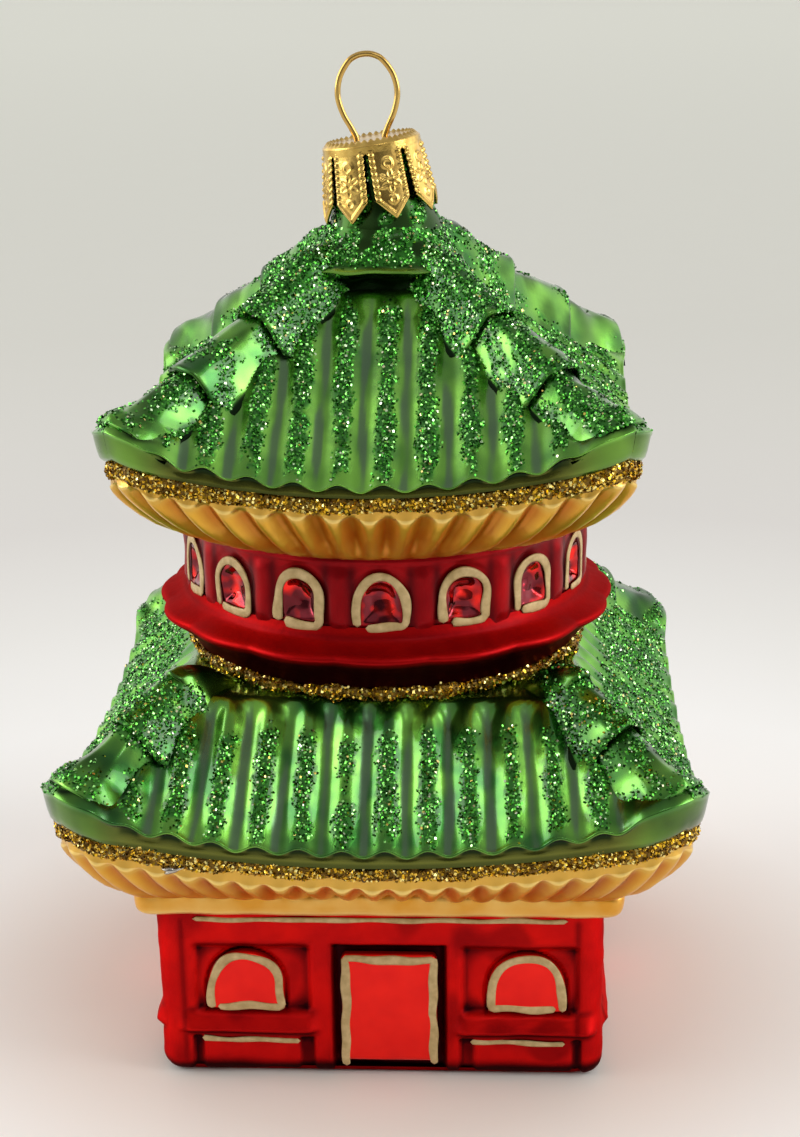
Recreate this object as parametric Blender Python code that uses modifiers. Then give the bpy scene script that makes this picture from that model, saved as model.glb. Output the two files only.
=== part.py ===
"""Blown-glass tree ornament in the shape of a two-storey pagoda, with a pressed metal cap and a wire loop.

Metres, +Z up, front towards -Y. The origin is the centre of the underside, where the ornament stands.
The glass is one blown shell in the real thing. Here it is parted where the mould and the paint part it,
and each part is a thin open shell or a moulded panel, with a hairline gap to its neighbour.
"""

import bpy
import bmesh
import math
from mathutils import Matrix, Vector

MM = 0.001
GAP = 0.3 * MM
GLASS = 0.8 * MM
WELD = 0.00001

# Closed bottom of the glass: half width, corner radius and height of each level, in mm
FLOOR_LEVELS = ((26.2, 4.0, 0.0), (27.4, 3.4, 0.5), (28.1, 3.0, 1.5))

# Square ground storey
WALL_HALF = 28.4 * MM
WALL_THICK = 2.3 * MM
WALL_TOP = 23.6 * MM
WALL_CORNER = 2.6 * MM
FLOOR_TOP = 1.5 * MM
DECOR_SHIFT = 0.8 * MM
RECESS_DEPTH = 0.9 * MM
BAY_INNER = 9.7 * MM
BAY_OUTER = 24.4 * MM
BAY_LOW = 8.9 * MM
BAY_HIGH = 18.5 * MM
RAIL_LOW = 6.1 * MM
RAIL_INNER = 8.6 * MM
RAIL_OUTER = 26.6 * MM
RAIL_OUT = 1.2 * MM
RAIL_ROOT = 0.5 * MM
DADO_LOW = 2.2 * MM
DADO_HIGH = 5.7 * MM
DOOR_CENTRE = 1.2 * MM
DOOR_WIDTH = 12.2 * MM
DOOR_TOP = 17.5 * MM
DOOR_MARGIN = 1.1 * MM
PANE_SUNK = 0.1 * MM
WINDOW_CENTRE = 17.9 * MM
WINDOW_WIDTH = 9.8 * MM
WINDOW_LOW = 9.5 * MM
WINDOW_HIGH = 17.7 * MM
CORNICE_LOW = 23.9 * MM
CORNICE_TOP = 26.9 * MM
CORNICE_HALF = 30.0 * MM
CORNICE_CORNER = 2.4 * MM

# What both roofs share, from the tiles down to the pleated underside
RIB_RISE = 0.55 * MM
RIB_COLUMNS = 3
FASCIA_DROP = (1.9 * MM, 1.2 * MM)
FASCIA_INSET = 0.4 * MM
BAND_HEIGHT = 1.7 * MM
BAND_THICK = 1.0 * MM
HIP_CLEAR = 0.8 * MM
SOFFIT_RIM = 1.3 * MM
# Way in from the rim as a share, whether the rim's drop is in it, and the bulge down in mm
SOFFIT_STEPS = ((0.0, 0.0, 0.0), (0.02, 1.0, 0.0), (0.5, 1.0, 0.5), (1.0, 1.0, 0.0))

# Round drum between the roofs
DRUM_RADIUS = 26.4 * MM
DRUM_LOW = 59.1 * MM
DRUM_TOP = 69.6 * MM
DRUM_WINDOWS = 16
DRUM_WINDOW_LOW = 60.2 * MM
DRUM_WINDOW_HIGH = 67.4 * MM
DRUM_WINDOW_WIDTH = 7.4 * MM
DRUM_WINDOW_DEPTH = 0.9 * MM
DRUM_WINDOW_EDGE = 0.5 * MM
SKIRT_RADIUS = 30.0 * MM
SKIRT_EDGE = 57.3 * MM
FOOT_RADIUS = 25.2 * MM
FOOT_HEIGHT = 51.75 * MM
FOOT_WIRE = 0.75 * MM

# Neck, cap and hanging loop, on an axis that leans to the left
CAP_CENTRE = (-1.05 * MM, 0.0, 116.3 * MM)
CAP_LEAN = -8.0
CAP_RADIUS = 6.1 * MM
CAP_TIP_RADIUS = 7.45 * MM
CAP_SHEET = 0.35 * MM
CAP_COLLAR = 1.3 * MM
PRONGS = 8
PRONG_SHOULDER = 7.1 * MM
PRONG_LENGTH = 9.5 * MM
PRONG_SLOT = 0.9 * MM
LEG_SPREAD = 1.75 * MM
LEG_HOLE = 0.75 * MM
LOOP_LEAN = -3.0
LOOP_WIRE = 0.38 * MM
# Left half of the loop from its foot to its crown: across and up from the cap's top, in mm
LOOP_KNOTS = ((-2.9, -4.5), (-1.9, -1.6), (-1.75, 0.0), (-2.2, 1.2), (-3.2, 3.2), (-3.72, 5.4),
              (-3.35, 7.6), (-2.2, 9.4), (-1.15, 10.1), (0.0, 10.3))
# Ledge at the top of the upper roof: half width, corner radius, height and shift to the right, in mm
COLLAR_LEVELS = ((8.6, 3.8, 98.8, 0.0), (8.9, 3.8, 100.1, 0.0), (10.5, 4.2, 100.6, 0.0),
                 (10.4, 4.4, 101.6, 0.0), (8.9, 7.6, 102.9, 0.15), (7.5, 7.4, 104.6, 0.5))
# Outside of the neck: radius, and height from the cap's top, in mm
NECK_OUTSIDE = ((5.4, -0.8), (5.6, -5.0), (6.5, -8.6), (7.2, -11.3))
NECK_THICK = 0.9

COLOURS = {
    "green": ((0.02, 0.25, 0.03), 0.12, 0.9),
    "red": ((0.42, 0.01, 0.015), 0.35, 0.3),
    "pane": ((0.75, 0.01, 0.01), 0.15, 0.3),
    "orange": ((0.85, 0.42, 0.06), 0.35, 0.2),
    "cream": ((0.90, 0.72, 0.30), 0.40, 0.2),
    "glitter": ((0.55, 0.36, 0.05), 0.45, 0.9),
    "gold": ((0.83, 0.60, 0.24), 0.30, 1.0),
}


class Roof:
    """One square tiled roof: its levels, its outline and how its eaves turn up at the corners."""

    def __init__(self, name, half, corner, top_half, top_corner, eave, top, lift, rim_lift, pitch, rows, hip):
        self.name = name
        self.half = half * MM
        self.corner = corner * MM
        self.top_half = top_half * MM
        self.top_corner = top_corner * MM
        self.eave = eave * MM
        self.top = top * MM
        self.lift = lift / MM
        self.rim_lift = rim_lift / MM
        self.pitch = pitch * MM
        self.rows = rows
        self.hip = hip

    def height(self, x, y):
        """Top surface over a plan point: a straight pyramid slope, capped at the top, lifted with the
        square of the distance from the middle of each side, with the lift eased off on the diagonals."""
        far = max(abs(x), abs(y))
        along = min(abs(x), abs(y))
        reach = (far - self.top_half) / (self.half - self.top_half)
        slope = self.top + (self.eave - self.top) * reach
        ease = 0.4 + 0.6 * smooth(far - along, 1.0 * MM, 8.0 * MM)
        return min(slope + self.lift * along ** 2 * math.sqrt(max(reach, 0.0)) * ease, self.top)

    def ribs(self, x, y):
        """Tile ribs that run down each slope and fade out beside the hips. None is in the middle: the
        nearest one is a third of their spacing to its right."""
        far = max(abs(x), abs(y))
        along = x if abs(y) > abs(x) else y
        wave = math.cos(math.tau * (along / self.pitch - 1 / RIB_COLUMNS))
        beside_hip = smooth(far - abs(along), 5.0 * MM, 8.0 * MM)
        return RIB_RISE * wave * beside_hip * smooth(far - self.top_half, 0.0, 2.0 * MM)

    def rim_height(self, x, y):
        """Height of the rim's curve over a point of the outline, before the drop to each level."""
        return self.eave + self.rim_lift * min(abs(x), abs(y)) ** 2


LOWER = Roof("lower", 39.6, 8.0, 24.6, 16.0, 37.2, 50.9, 0.0036, 0.0030, 4.95, 3,
             ((20.6, 3.4, 6.6), (25.0, 3.6, 9.6), (25.4, 2.2, 7.6), (31.4, 3.4, 10.6),
              (31.9, 1.6, 9.0), (35.2, 2.2, 13.4), (36.1, 1.6, 13.0)))
UPPER = Roof("upper", 32.2, 7.0, 9.0, 4.0, 79.8, 98.4, 0.0060, 0.0045, 5.0, 4,
             ((9.6, 2.2, 6.2), (15.0, 2.9, 9.4), (15.4, 1.6, 7.6), (23.0, 3.0, 11.0),
              (23.5, 1.4, 9.2), (28.4, 1.9, 13.0), (29.3, 1.3, 12.6)))


def smooth(value, low, high):
    """0 below low, 1 above high, and an easy curve between them."""
    t = min(max((value - low) / (high - low), 0.0), 1.0)
    return t * t * (3.0 - 2.0 * t)


def clear_scene():
    for item in list(bpy.data.objects):
        bpy.data.objects.remove(item, do_unlink=True)


def collection(name):
    made = bpy.data.collections.new(name)
    bpy.context.scene.collection.children.link(made)
    return made


def material(kind):
    """One Principled material for each finish."""
    found = bpy.data.materials.get(kind)
    if found:
        return found
    colour, roughness, metallic = COLOURS[kind]
    made = bpy.data.materials.new(kind)
    made.use_nodes = True
    shader = made.node_tree.nodes["Principled BSDF"]
    shader.inputs["Base Color"].default_value = (*colour, 1.0)
    shader.inputs["Roughness"].default_value = roughness
    shader.inputs["Metallic"].default_value = metallic
    return made


def put(name, mesh, finish):
    """A named object for one part, in the ornament's collection, shaded smooth up to 35 degrees."""
    mesh.materials.append(material(finish))
    mesh.shade_smooth()
    mesh.set_sharp_from_angle(angle=math.radians(35))
    thing = bpy.data.objects.new(name, mesh)
    PARTS.objects.link(thing)
    return thing


def put_cutter(name, mesh):
    thing = bpy.data.objects.new(name, mesh)
    thing.hide_render = True
    thing.display_type = "WIRE"
    CUTTERS.objects.link(thing)
    return thing


def mesh_of(points, faces, name, closed=False):
    """A mesh from shared points, welded where rows close up. An open one keeps its faces' given sides."""
    mesh = bpy.data.meshes.new(name)
    mesh.from_pydata([tuple(p) for p in points], [], faces)
    shape = bmesh.new()
    shape.from_mesh(mesh)
    bmesh.ops.remove_doubles(shape, verts=shape.verts, dist=WELD)
    if closed:
        bmesh.ops.recalc_face_normals(shape, faces=shape.faces)
    shape.to_mesh(mesh)
    shape.free()
    return mesh


def box_mesh(name, low, high, bevel=0.0):
    """A box between two corners, with its edges rounded where bevel is given."""
    shape = bmesh.new()
    bmesh.ops.create_cube(shape, size=1.0)
    size = [b - a for a, b in zip(low, high)]
    middle = [(a + b) / 2 for a, b in zip(low, high)]
    bmesh.ops.scale(shape, vec=size, verts=shape.verts)
    bmesh.ops.translate(shape, vec=middle, verts=shape.verts)
    if bevel:
        bmesh.ops.bevel(shape, geom=shape.edges, offset=bevel, segments=2, profile=0.5, affect="EDGES")
    mesh = bpy.data.meshes.new(name)
    shape.to_mesh(mesh)
    shape.free()
    return mesh


def boolean(thing, tool, operation):
    step = thing.modifiers.new(tool.name, "BOOLEAN")
    step.operation = operation
    step.object = tool
    step.solver = "EXACT"


def solidify(thing, thickness):
    """Gives an open surface its wall, inwards from the surface that shows."""
    step = thing.modifiers.new("wall", "SOLIDIFY")
    step.thickness = thickness
    step.offset = -1.0
    step.use_even_offset = False


def outline(half, corner, side_steps, arc_steps):
    """Points round a square with rounded corners, anticlockwise from the front of the right side."""
    points = []
    straight = half - corner
    for turn in range(4):
        spin = Matrix.Rotation(math.radians(90 * turn), 2)
        for i in range(side_steps):
            along = -straight + 2 * straight * i / side_steps
            points.append(spin @ Vector((half, along)))
        for i in range(arc_steps):
            angle = math.radians(90) * i / arc_steps
            points.append(spin @ Vector((straight + corner * math.cos(angle),
                                         straight + corner * math.sin(angle))))
    return [(p.x, p.y) for p in points]


def ray_outline(half, corner, count=64):
    """Points round a rounded square at equal angles about its middle, so that it lofts to a circle."""
    straight = half - corner
    points = []
    for i in range(count):
        angle = math.tau * i / count
        turn = round(angle / math.radians(90))
        across = abs(angle - turn * math.radians(90))
        reach = half / math.cos(across)
        if half * math.tan(across) > straight:
            middle = straight * (math.cos(across) + math.sin(across))
            reach = middle + math.sqrt(max(middle ** 2 - 2 * straight ** 2 + corner ** 2, 0.0))
        points.append((reach * math.cos(angle), reach * math.sin(angle)))
    return points


def lofted(name, sections, closed=False):
    """Skin over sections with equal numbers of points; closed joins the last section to the first."""
    count = len(sections[0])
    points = [p for section in sections for p in section]
    faces = []
    rows = len(sections)
    for row in range(rows if closed else rows - 1):
        below, above = row * count, (row + 1) % rows * count
        for i in range(count):
            j = (i + 1) % count
            faces.append((below + i, below + j, above + j, above + i))
    return mesh_of(points, faces, name)


def rings(levels, side_steps, arc_steps, lift=0.0):
    """Sections of rounded squares: each level is half width, corner radius and height. Lift raises each
    point with the square of its distance from the middle of its side."""
    sections = []
    for half, corner, z in levels:
        flat = outline(half, corner, side_steps, arc_steps)
        sections.append([(x, y, z + lift * min(abs(x), abs(y)) ** 2) for x, y in flat])
    return sections


def turned(name, profile, steps=48):
    """A ring turned about the upright axis from a closed profile of radius and height."""
    shape = bmesh.new()
    verts = [shape.verts.new((r, 0.0, z)) for r, z in profile]
    edges = [shape.edges.new((verts[i - 1], verts[i])) for i in range(len(verts))]
    bmesh.ops.spin(shape, geom=verts + edges, cent=(0, 0, 0), axis=(0, 0, 1),
                   angle=math.tau, steps=steps, use_merge=True)
    bmesh.ops.remove_doubles(shape, verts=shape.verts, dist=WELD)
    bmesh.ops.recalc_face_normals(shape, faces=shape.faces)
    mesh = bpy.data.meshes.new(name)
    shape.to_mesh(mesh)
    shape.free()
    return mesh


def arch(width, low, high, steps=8):
    """Outline of a window with straight sides and a round head, anticlockwise from its lower left."""
    radius = width / 2
    spring = high - radius
    points = [(-radius, low), (radius, low)]
    for i in range(steps + 1):
        angle = math.pi * i / steps
        points.append((radius * math.cos(angle), spring + radius * math.sin(angle)))
    return points


def panel_mesh(name, flat, front, thick):
    """A flat outline in the plane of the front wall, made thick towards the inside."""
    count = len(flat)
    points = [(x, -front, z) for x, z in flat] + [(x, thick - front, z) for x, z in flat]
    faces = [tuple(range(count)), tuple(range(2 * count - 1, count - 1, -1))]
    faces += [(i, i + count, (i + 1) % count + count, (i + 1) % count) for i in range(count)]
    return mesh_of(points, faces, name, closed=True)


def floor():
    """The closed bottom of the glass, rounded up to the walls."""
    sections = []
    for half, corner, z in FLOOR_LEVELS:
        sections.append([(x, y, z * MM) for x, y in outline(half * MM, corner * MM, 1, 4)])
    mesh = lofted("base_floor", sections)
    shape = bmesh.new()
    shape.from_mesh(mesh)
    bmesh.ops.holes_fill(shape, edges=shape.edges, sides=0)
    bmesh.ops.recalc_face_normals(shape, faces=shape.faces)
    shape.to_mesh(mesh)
    shape.free()
    put("base_floor", mesh, "red")


def wall_plan():
    """Plan of one wall: its face, half of each rounded corner, and mitred ends."""
    straight = WALL_HALF - WALL_CORNER
    points = []
    for sign in (-1, 1):
        arc = []
        for i in range(4):
            angle = math.radians(45) * i / 3
            arc.append((straight + (WALL_CORNER - GAP) * math.sin(angle),
                        -straight - WALL_CORNER * math.cos(angle)))
        end = [(sign * x, y) for x, y in arc]
        points += end[::-1] if sign < 0 else end
    inner = WALL_HALF - WALL_THICK
    points += [(inner - GAP, -inner), (GAP - inner, -inner)]
    return points


def wall_mesh(name, low, high):
    plan = wall_plan()
    count = len(plan)
    points = [(x, y, low) for x, y in plan] + [(x, y, high) for x, y in plan]
    faces = [tuple(range(count - 1, -1, -1)), tuple(range(count, 2 * count))]
    faces += [(i, (i + 1) % count, (i + 1) % count + count, i + count) for i in range(count)]
    return mesh_of(points, faces, name, closed=True)


def bay(side, low, high):
    """The two ends of a bay on one side of the door, in order."""
    return tuple(sorted((DECOR_SHIFT + side * low, DECOR_SHIFT + side * high)))


def wall(side, turn):
    """A wall with its corner posts, sunk window bays, ledge rails and the pocket for the door."""
    spin = Matrix.Rotation(math.radians(turn), 4, "Z")
    thing = put(f"{side}_wall", wall_mesh(f"{side}_wall", FLOOR_TOP + GAP, WALL_TOP), "red")
    front, back = -WALL_HALF, RECESS_DEPTH - WALL_HALF
    proud = -WALL_HALF - 2 * MM
    cuts = []
    for hand in (-1, 1):
        left, right = bay(hand, BAY_INNER, BAY_OUTER)
        cuts.append(((left, proud, BAY_LOW), (right, back, BAY_HIGH)))
        left, right = bay(hand, BAY_INNER + 1.2 * MM, BAY_OUTER)
        cuts.append(((left, proud, DADO_LOW), (right, back, DADO_HIGH)))
    reach = DOOR_WIDTH / 2 + DOOR_MARGIN
    cuts.append(((DOOR_CENTRE - reach, proud, 0.0), (DOOR_CENTRE + reach, back, DOOR_TOP + DOOR_MARGIN)))
    for number, (low, high) in enumerate(cuts):
        name = f"{side}_cut_{number}"
        cutter = put_cutter(name, box_mesh(name, low, high))
        cutter.matrix_world = spin
        boolean(thing, cutter, "DIFFERENCE")
    for hand in (-1, 1):
        left, right = bay(hand, RAIL_INNER, RAIL_OUTER)
        name = f"{side}_rail_{hand + 1}"
        low = (left, front - RAIL_OUT, RAIL_LOW)
        high = (right, front + RAIL_ROOT, BAY_LOW + 0.4 * MM)
        rail = put_cutter(name, box_mesh(name, low, high, RAIL_ROOT))
        rail.matrix_world = spin
        boolean(thing, rail, "UNION")
    thing.matrix_world = spin


def door(side, turn):
    """The door panel that stands in its pocket, just short of the wall's face."""
    half = DOOR_WIDTH / 2
    low = (DOOR_CENTRE - half, PANE_SUNK - WALL_HALF, FLOOR_TOP + GAP)
    high = (DOOR_CENTRE + half, RECESS_DEPTH - WALL_HALF - GAP, DOOR_TOP)
    thing = put(f"{side}_door", box_mesh(f"{side}_door", low, high, 0.15 * MM), "pane")
    thing.matrix_world = Matrix.Rotation(math.radians(turn), 4, "Z")


def base_window(side, turn, hand, label):
    """One arched window pane, raised in its sunk bay to just short of the wall's face."""
    centre = DECOR_SHIFT + hand * WINDOW_CENTRE
    flat = [(x + centre, z) for x, z in arch(WINDOW_WIDTH, WINDOW_LOW, WINDOW_HIGH)]
    name = f"{side}_{label}_window"
    front = WALL_HALF - PANE_SUNK
    thing = put(name, panel_mesh(name, flat, front, RECESS_DEPTH - GAP - PANE_SUNK), "pane")
    thing.matrix_world = Matrix.Rotation(math.radians(turn), 4, "Z")


def ground_storey():
    floor()
    for side, turn in (("front", 0), ("right", 90), ("back", 180), ("left", 270)):
        wall(side, turn)
        door(side, turn)
        base_window(side, turn, -1, "left")
        base_window(side, turn, 1, "right")


def cornice():
    """The pale square moulding over the walls: a ring of one profile."""
    inner = WALL_HALF - WALL_THICK
    chamfer = 0.9 * MM
    levels = ((CORNICE_HALF - chamfer, CORNICE_CORNER, CORNICE_LOW),
              (CORNICE_HALF, CORNICE_CORNER, CORNICE_LOW + chamfer),
              (CORNICE_HALF, CORNICE_CORNER, CORNICE_TOP),
              (inner, 1.0 * MM, CORNICE_TOP),
              (inner, 1.0 * MM, CORNICE_LOW))
    put("cornice", lofted("cornice", rings(levels, 1, 3), closed=True), "cream")


def column_places(roof):
    """Places along one side where the roof's grid has a column: on each rib's crest, on both sides of
    each valley, and where the corners start. They are even about the middle, so that two sides meet."""
    straight = roof.half - roof.corner
    step = roof.pitch / RIB_COLUMNS
    most = math.floor(straight / step - 0.3)
    return [-straight] + [step * i for i in range(-most, most + 1)] + [straight]


def column_top(roof, along):
    """Distance from the middle at which a column starts: at the top opening, or on the diagonal."""
    start = roof.top_half - roof.top_corner
    across = abs(along) - start
    if across <= 0:
        return roof.top_half
    if across < roof.top_corner * math.sqrt(0.5):
        return start + math.sqrt(roof.top_corner ** 2 - across ** 2)
    return abs(along)


def roof_point(roof, x, y):
    return (x, y, roof.height(x, y) + roof.ribs(x, y))


def fascia_point(roof, x, y, outward, drop):
    """The lower point of the plain rim under the tiles, from a point of the eave."""
    z = roof.rim_height(x, y) - drop
    return (x - outward[0] * FASCIA_INSET, y - outward[1] * FASCIA_INSET, z)


def roof_columns(roof, drop):
    """Rows of points for one side and the corner at its right, each from the top down to the rim."""
    straight = roof.half - roof.corner
    columns = []
    for along in column_places(roof):
        top = column_top(roof, along)
        rows = []
        for r in range(roof.rows + 1):
            rows.append(roof_point(roof, along, -top - (roof.half - top) * r / roof.rows))
        rows.append(fascia_point(roof, along, -roof.half, (0.0, -1.0), drop))
        columns.append(rows)
    for i in range(1, 5):
        angle = math.radians(90) * i / 4
        way = (math.sin(angle), -math.cos(angle))
        rows = []
        for r in range(roof.rows + 1):
            reach = roof.corner * r / roof.rows
            rows.append(roof_point(roof, straight + way[0] * reach, -straight + way[1] * reach))
        eave = (straight + way[0] * roof.corner, -straight + way[1] * roof.corner)
        rows.append(fascia_point(roof, *eave, way, drop))
        columns.append(rows)
    return columns


def roof_mesh(roof, drop):
    """Four ribbed slopes, their rounded corners and the rim below the eave, as one open surface."""
    points, faces = [], []
    columns = roof_columns(roof, drop)
    tall = len(columns[0])
    for turn in range(4):
        spin = Matrix.Rotation(math.radians(90 * turn), 3, "Z")
        base = len(points)
        for column in columns:
            points += [spin @ Vector(p) for p in column]
        for left in range(base, base + tall * (len(columns) - 1), tall):
            right = left + tall
            for r in range(tall - 1):
                faces.append((left + r, left + r + 1, right + r + 1, right + r))
    return mesh_of(points, faces, f"{roof.name}_roof")


def roof_shell(roof, drop):
    thing = put(f"{roof.name}_roof", roof_mesh(roof, drop), "green")
    solidify(thing, GLASS)


def hip_sections(roof):
    """Sections of one hip, square to its diagonal: three tiles, each flaring to a lip and stepping down.

    Each station gives the distance from the axis along x, the crest's rise and the tile's width."""
    sections = []
    for place, rise, width in roof.hip:
        place, rise, width = place * MM, rise * MM, width * MM
        floor_points, top_points = [], []
        for share in (-0.5, -0.25, 0.0, 0.25, 0.5):
            across = share * width / math.sqrt(2)
            x, y = place + across, -place + across
            floor_points.append(Vector((x, y, roof.height(x, y) + HIP_CLEAR)))
        crest = floor_points[2].z + rise
        for share, drop in ((0.47, 0.55), (0.27, 0.12), (0.0, 0.0), (-0.27, 0.12), (-0.47, 0.55)):
            across = share * width / math.sqrt(2)
            x, y = place + across, -place + across
            under = roof.height(x, y) + HIP_CLEAR
            top_points.append(Vector((x, y, max(crest - drop * rise, under + 0.6 * MM))))
        sections.append(floor_points + top_points)
    return sections


def hip_mesh(name, roof):
    """One hip: a closed loft over its sections, capped at both ends."""
    sections = hip_sections(roof)
    count = len(sections[0])
    mesh = lofted(name, sections)
    shape = bmesh.new()
    shape.from_mesh(mesh)
    shape.verts.ensure_lookup_table()
    bmesh.ops.holes_fill(shape, edges=shape.edges, sides=count)
    bmesh.ops.recalc_face_normals(shape, faces=shape.faces)
    shape.to_mesh(mesh)
    shape.free()
    return mesh


def hips(roof):
    for side, turn in (("front_right", 0), ("back_right", 90), ("back_left", 180), ("front_left", 270)):
        name = f"{roof.name}_hip_{side}"
        thing = put(name, hip_mesh(name, roof), "green")
        thing.matrix_world = Matrix.Rotation(math.radians(turn), 4, "Z")


def glitter_band(roof, drop):
    """The gold band round the rim below the eave."""
    top = roof.eave - drop - GAP
    low = top - BAND_HEIGHT
    outer, slope = roof.half - 0.3 * MM, 0.2 * MM
    inner = outer - BAND_THICK
    levels = ((outer - slope, roof.corner, low), (outer, roof.corner, top),
              (inner, roof.corner, top), (inner - slope, roof.corner, low))
    name = f"{roof.name}_glitter_band"
    put(name, lofted(name, rings(levels, 6, 4, roof.rim_lift), closed=True), "glitter")


def soffit(roof, drop, foot_half, foot_corner, foot_height):
    """The underside with its low rim: from the band in to what carries it, as an open shell."""
    top = roof.eave - drop - BAND_HEIGHT - 2 * GAP
    sections = []
    edge = roof.half - 0.6 * MM
    for step, rim, bulge in SOFFIT_STEPS:
        half = edge + (foot_half - edge) * step
        corner = roof.corner + (foot_corner - roof.corner) * step
        z = top - SOFFIT_RIM * rim
        z += (foot_height - z) * step - bulge * MM
        flat = ray_outline(half, corner)
        lift = roof.rim_lift * (1 - step) ** 2
        sections.append([(x, y, z + lift * min(abs(x), abs(y)) ** 2) for x, y in flat])
    name = f"{roof.name}_soffit"
    thing = put(name, lofted(name, sections[::-1]), "orange")
    solidify(thing, GLASS)


def drum_mesh():
    """The round wall with sunk round-headed windows between pilasters, as an open surface.

    Each window has seven columns, and a column is sunk where it is inside the window at a level."""
    half = DRUM_WINDOW_WIDTH / 2
    spring = DRUM_WINDOW_HIGH - half
    inner = half - DRUM_WINDOW_EDGE
    narrow = 0.55 * half
    columns = (-half, -inner, -narrow, 0.0, narrow, inner, half)
    levels = ((DRUM_LOW, -1.0), (DRUM_WINDOW_LOW - DRUM_WINDOW_EDGE, -1.0), (DRUM_WINDOW_LOW, inner),
              (spring, inner), (spring + 0.72 * half, narrow), (DRUM_WINDOW_HIGH, -1.0), (DRUM_TOP, -1.0))
    sections = []
    for z, reach in levels:
        section = []
        for window in range(DRUM_WINDOWS):
            for across in columns:
                angle = math.tau * window / DRUM_WINDOWS + across / DRUM_RADIUS - math.pi / 2
                sunk = DRUM_WINDOW_DEPTH if abs(across) <= reach else 0.0
                radius = DRUM_RADIUS - sunk
                section.append((radius * math.cos(angle), radius * math.sin(angle), z))
        sections.append(section)
    return lofted("drum", sections)


def drum():
    thing = put("drum_wall", drum_mesh(), "red")
    solidify(thing, GLASS)


def skirt():
    """The flared ring under the windows, hollow below, down to the gold ring."""
    profile = ((DRUM_RADIUS + 0.5 * MM, DRUM_LOW - GAP), (SKIRT_RADIUS - 0.8 * MM, SKIRT_EDGE + 0.7 * MM),
               (SKIRT_RADIUS, SKIRT_EDGE), (SKIRT_RADIUS - 0.5 * MM, SKIRT_EDGE - 0.6 * MM),
               (FOOT_RADIUS + 0.8 * MM, FOOT_HEIGHT + FOOT_WIRE + GAP),
               (FOOT_RADIUS - 0.6 * MM, FOOT_HEIGHT + FOOT_WIRE + GAP),
               (SKIRT_RADIUS - 2.6 * MM, SKIRT_EDGE - 0.3 * MM),
               (DRUM_RADIUS - 0.6 * MM, DRUM_LOW - GAP))
    put("drum_skirt", turned("drum_skirt", profile, 48), "red")


def foot_ring():
    """The ring of gold glitter where the drum meets the lower roof."""
    profile = []
    sides = 6
    for i in range(sides):
        angle = math.tau * i / sides
        profile.append((FOOT_RADIUS + FOOT_WIRE * math.cos(angle), FOOT_HEIGHT + FOOT_WIRE * math.sin(angle)))
    put("foot_glitter_ring", turned("foot_glitter_ring", profile, 48), "glitter")


def collar():
    """The square ledge at the top of the roof, drawn up round into the neck."""
    sections = []
    for half, corner, z, shift in COLLAR_LEVELS:
        flat = outline(half * MM, corner * MM, 1, 5)
        sections.append([(x + shift * MM, y, z * MM) for x, y in flat])
    thing = put("roof_collar", lofted("roof_collar", sections), "green")
    solidify(thing, GLASS)


def cap_frame(lean):
    """Place of the cap's top centre, with the axis leaning by this many degrees about Y."""
    return Matrix.Translation(Vector(CAP_CENTRE)) @ Matrix.Rotation(math.radians(lean), 4, "Y")


def neck():
    """The glass neck, open at its top, that the cap is pressed over."""
    outside = [(r * MM, z * MM) for r, z in NECK_OUTSIDE]
    inside = [((r - NECK_THICK) * MM, z * MM) for r, z in NECK_OUTSIDE[::-1]]
    thing = put("neck", turned("neck", outside + inside, 24), "green")
    thing.matrix_world = cap_frame(CAP_LEAN)


def cap_mesh():
    """The pressed cap as an open sheet: a disc, a plain band and eight prongs with pointed tips."""
    points, faces = [], []
    sector = math.tau / PRONGS
    slot = PRONG_SLOT / 2 / CAP_TIP_RADIUS
    shares = (-1.0, -0.5, 0.0, 0.5, 1.0)
    angles = []
    for prong in range(PRONGS):
        for share in shares:
            angles.append((prong + 0.5) * sector + share * (sector / 2 - slot) - math.pi / 2)
    count = len(angles)

    def ring(radius, z):
        return [(radius * math.cos(a), radius * math.sin(a), z) for a in angles]

    for radius, z in ((2.0 * MM, 0.0), (CAP_RADIUS - 0.4 * MM, 0.0), (CAP_RADIUS, -0.35 * MM),
                      (CAP_RADIUS + 0.1 * MM, -CAP_COLLAR)):
        points += ring(radius, z)
    for row in range(3):
        for i in range(count):
            j = (i + 1) % count
            faces.append((row * count + i, row * count + count + i, row * count + count + j, row * count + j))
    faces.append(tuple(range(count)))
    base = 3 * count
    rows = 3
    for row in range(1, rows + 1):
        for i, angle in enumerate(angles):
            tip = 1 - abs(shares[i % len(shares)])
            length = PRONG_SHOULDER + (PRONG_LENGTH - PRONG_SHOULDER) * tip
            down = CAP_COLLAR + (length - CAP_COLLAR) * row / rows
            spread = (CAP_TIP_RADIUS - CAP_RADIUS) * (down - CAP_COLLAR) / PRONG_LENGTH
            radius = CAP_RADIUS + 0.1 * MM + spread
            points.append((radius * math.cos(angle), radius * math.sin(angle), -down))
    for row in range(rows):
        for i in range(count):
            if i % len(shares) == len(shares) - 1:
                continue
            low, high = base + row * count, base + (row + 1) * count
            faces.append((low + i, high + i, high + i + 1, low + i + 1))
    return mesh_of(points, faces, "cap")


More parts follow.
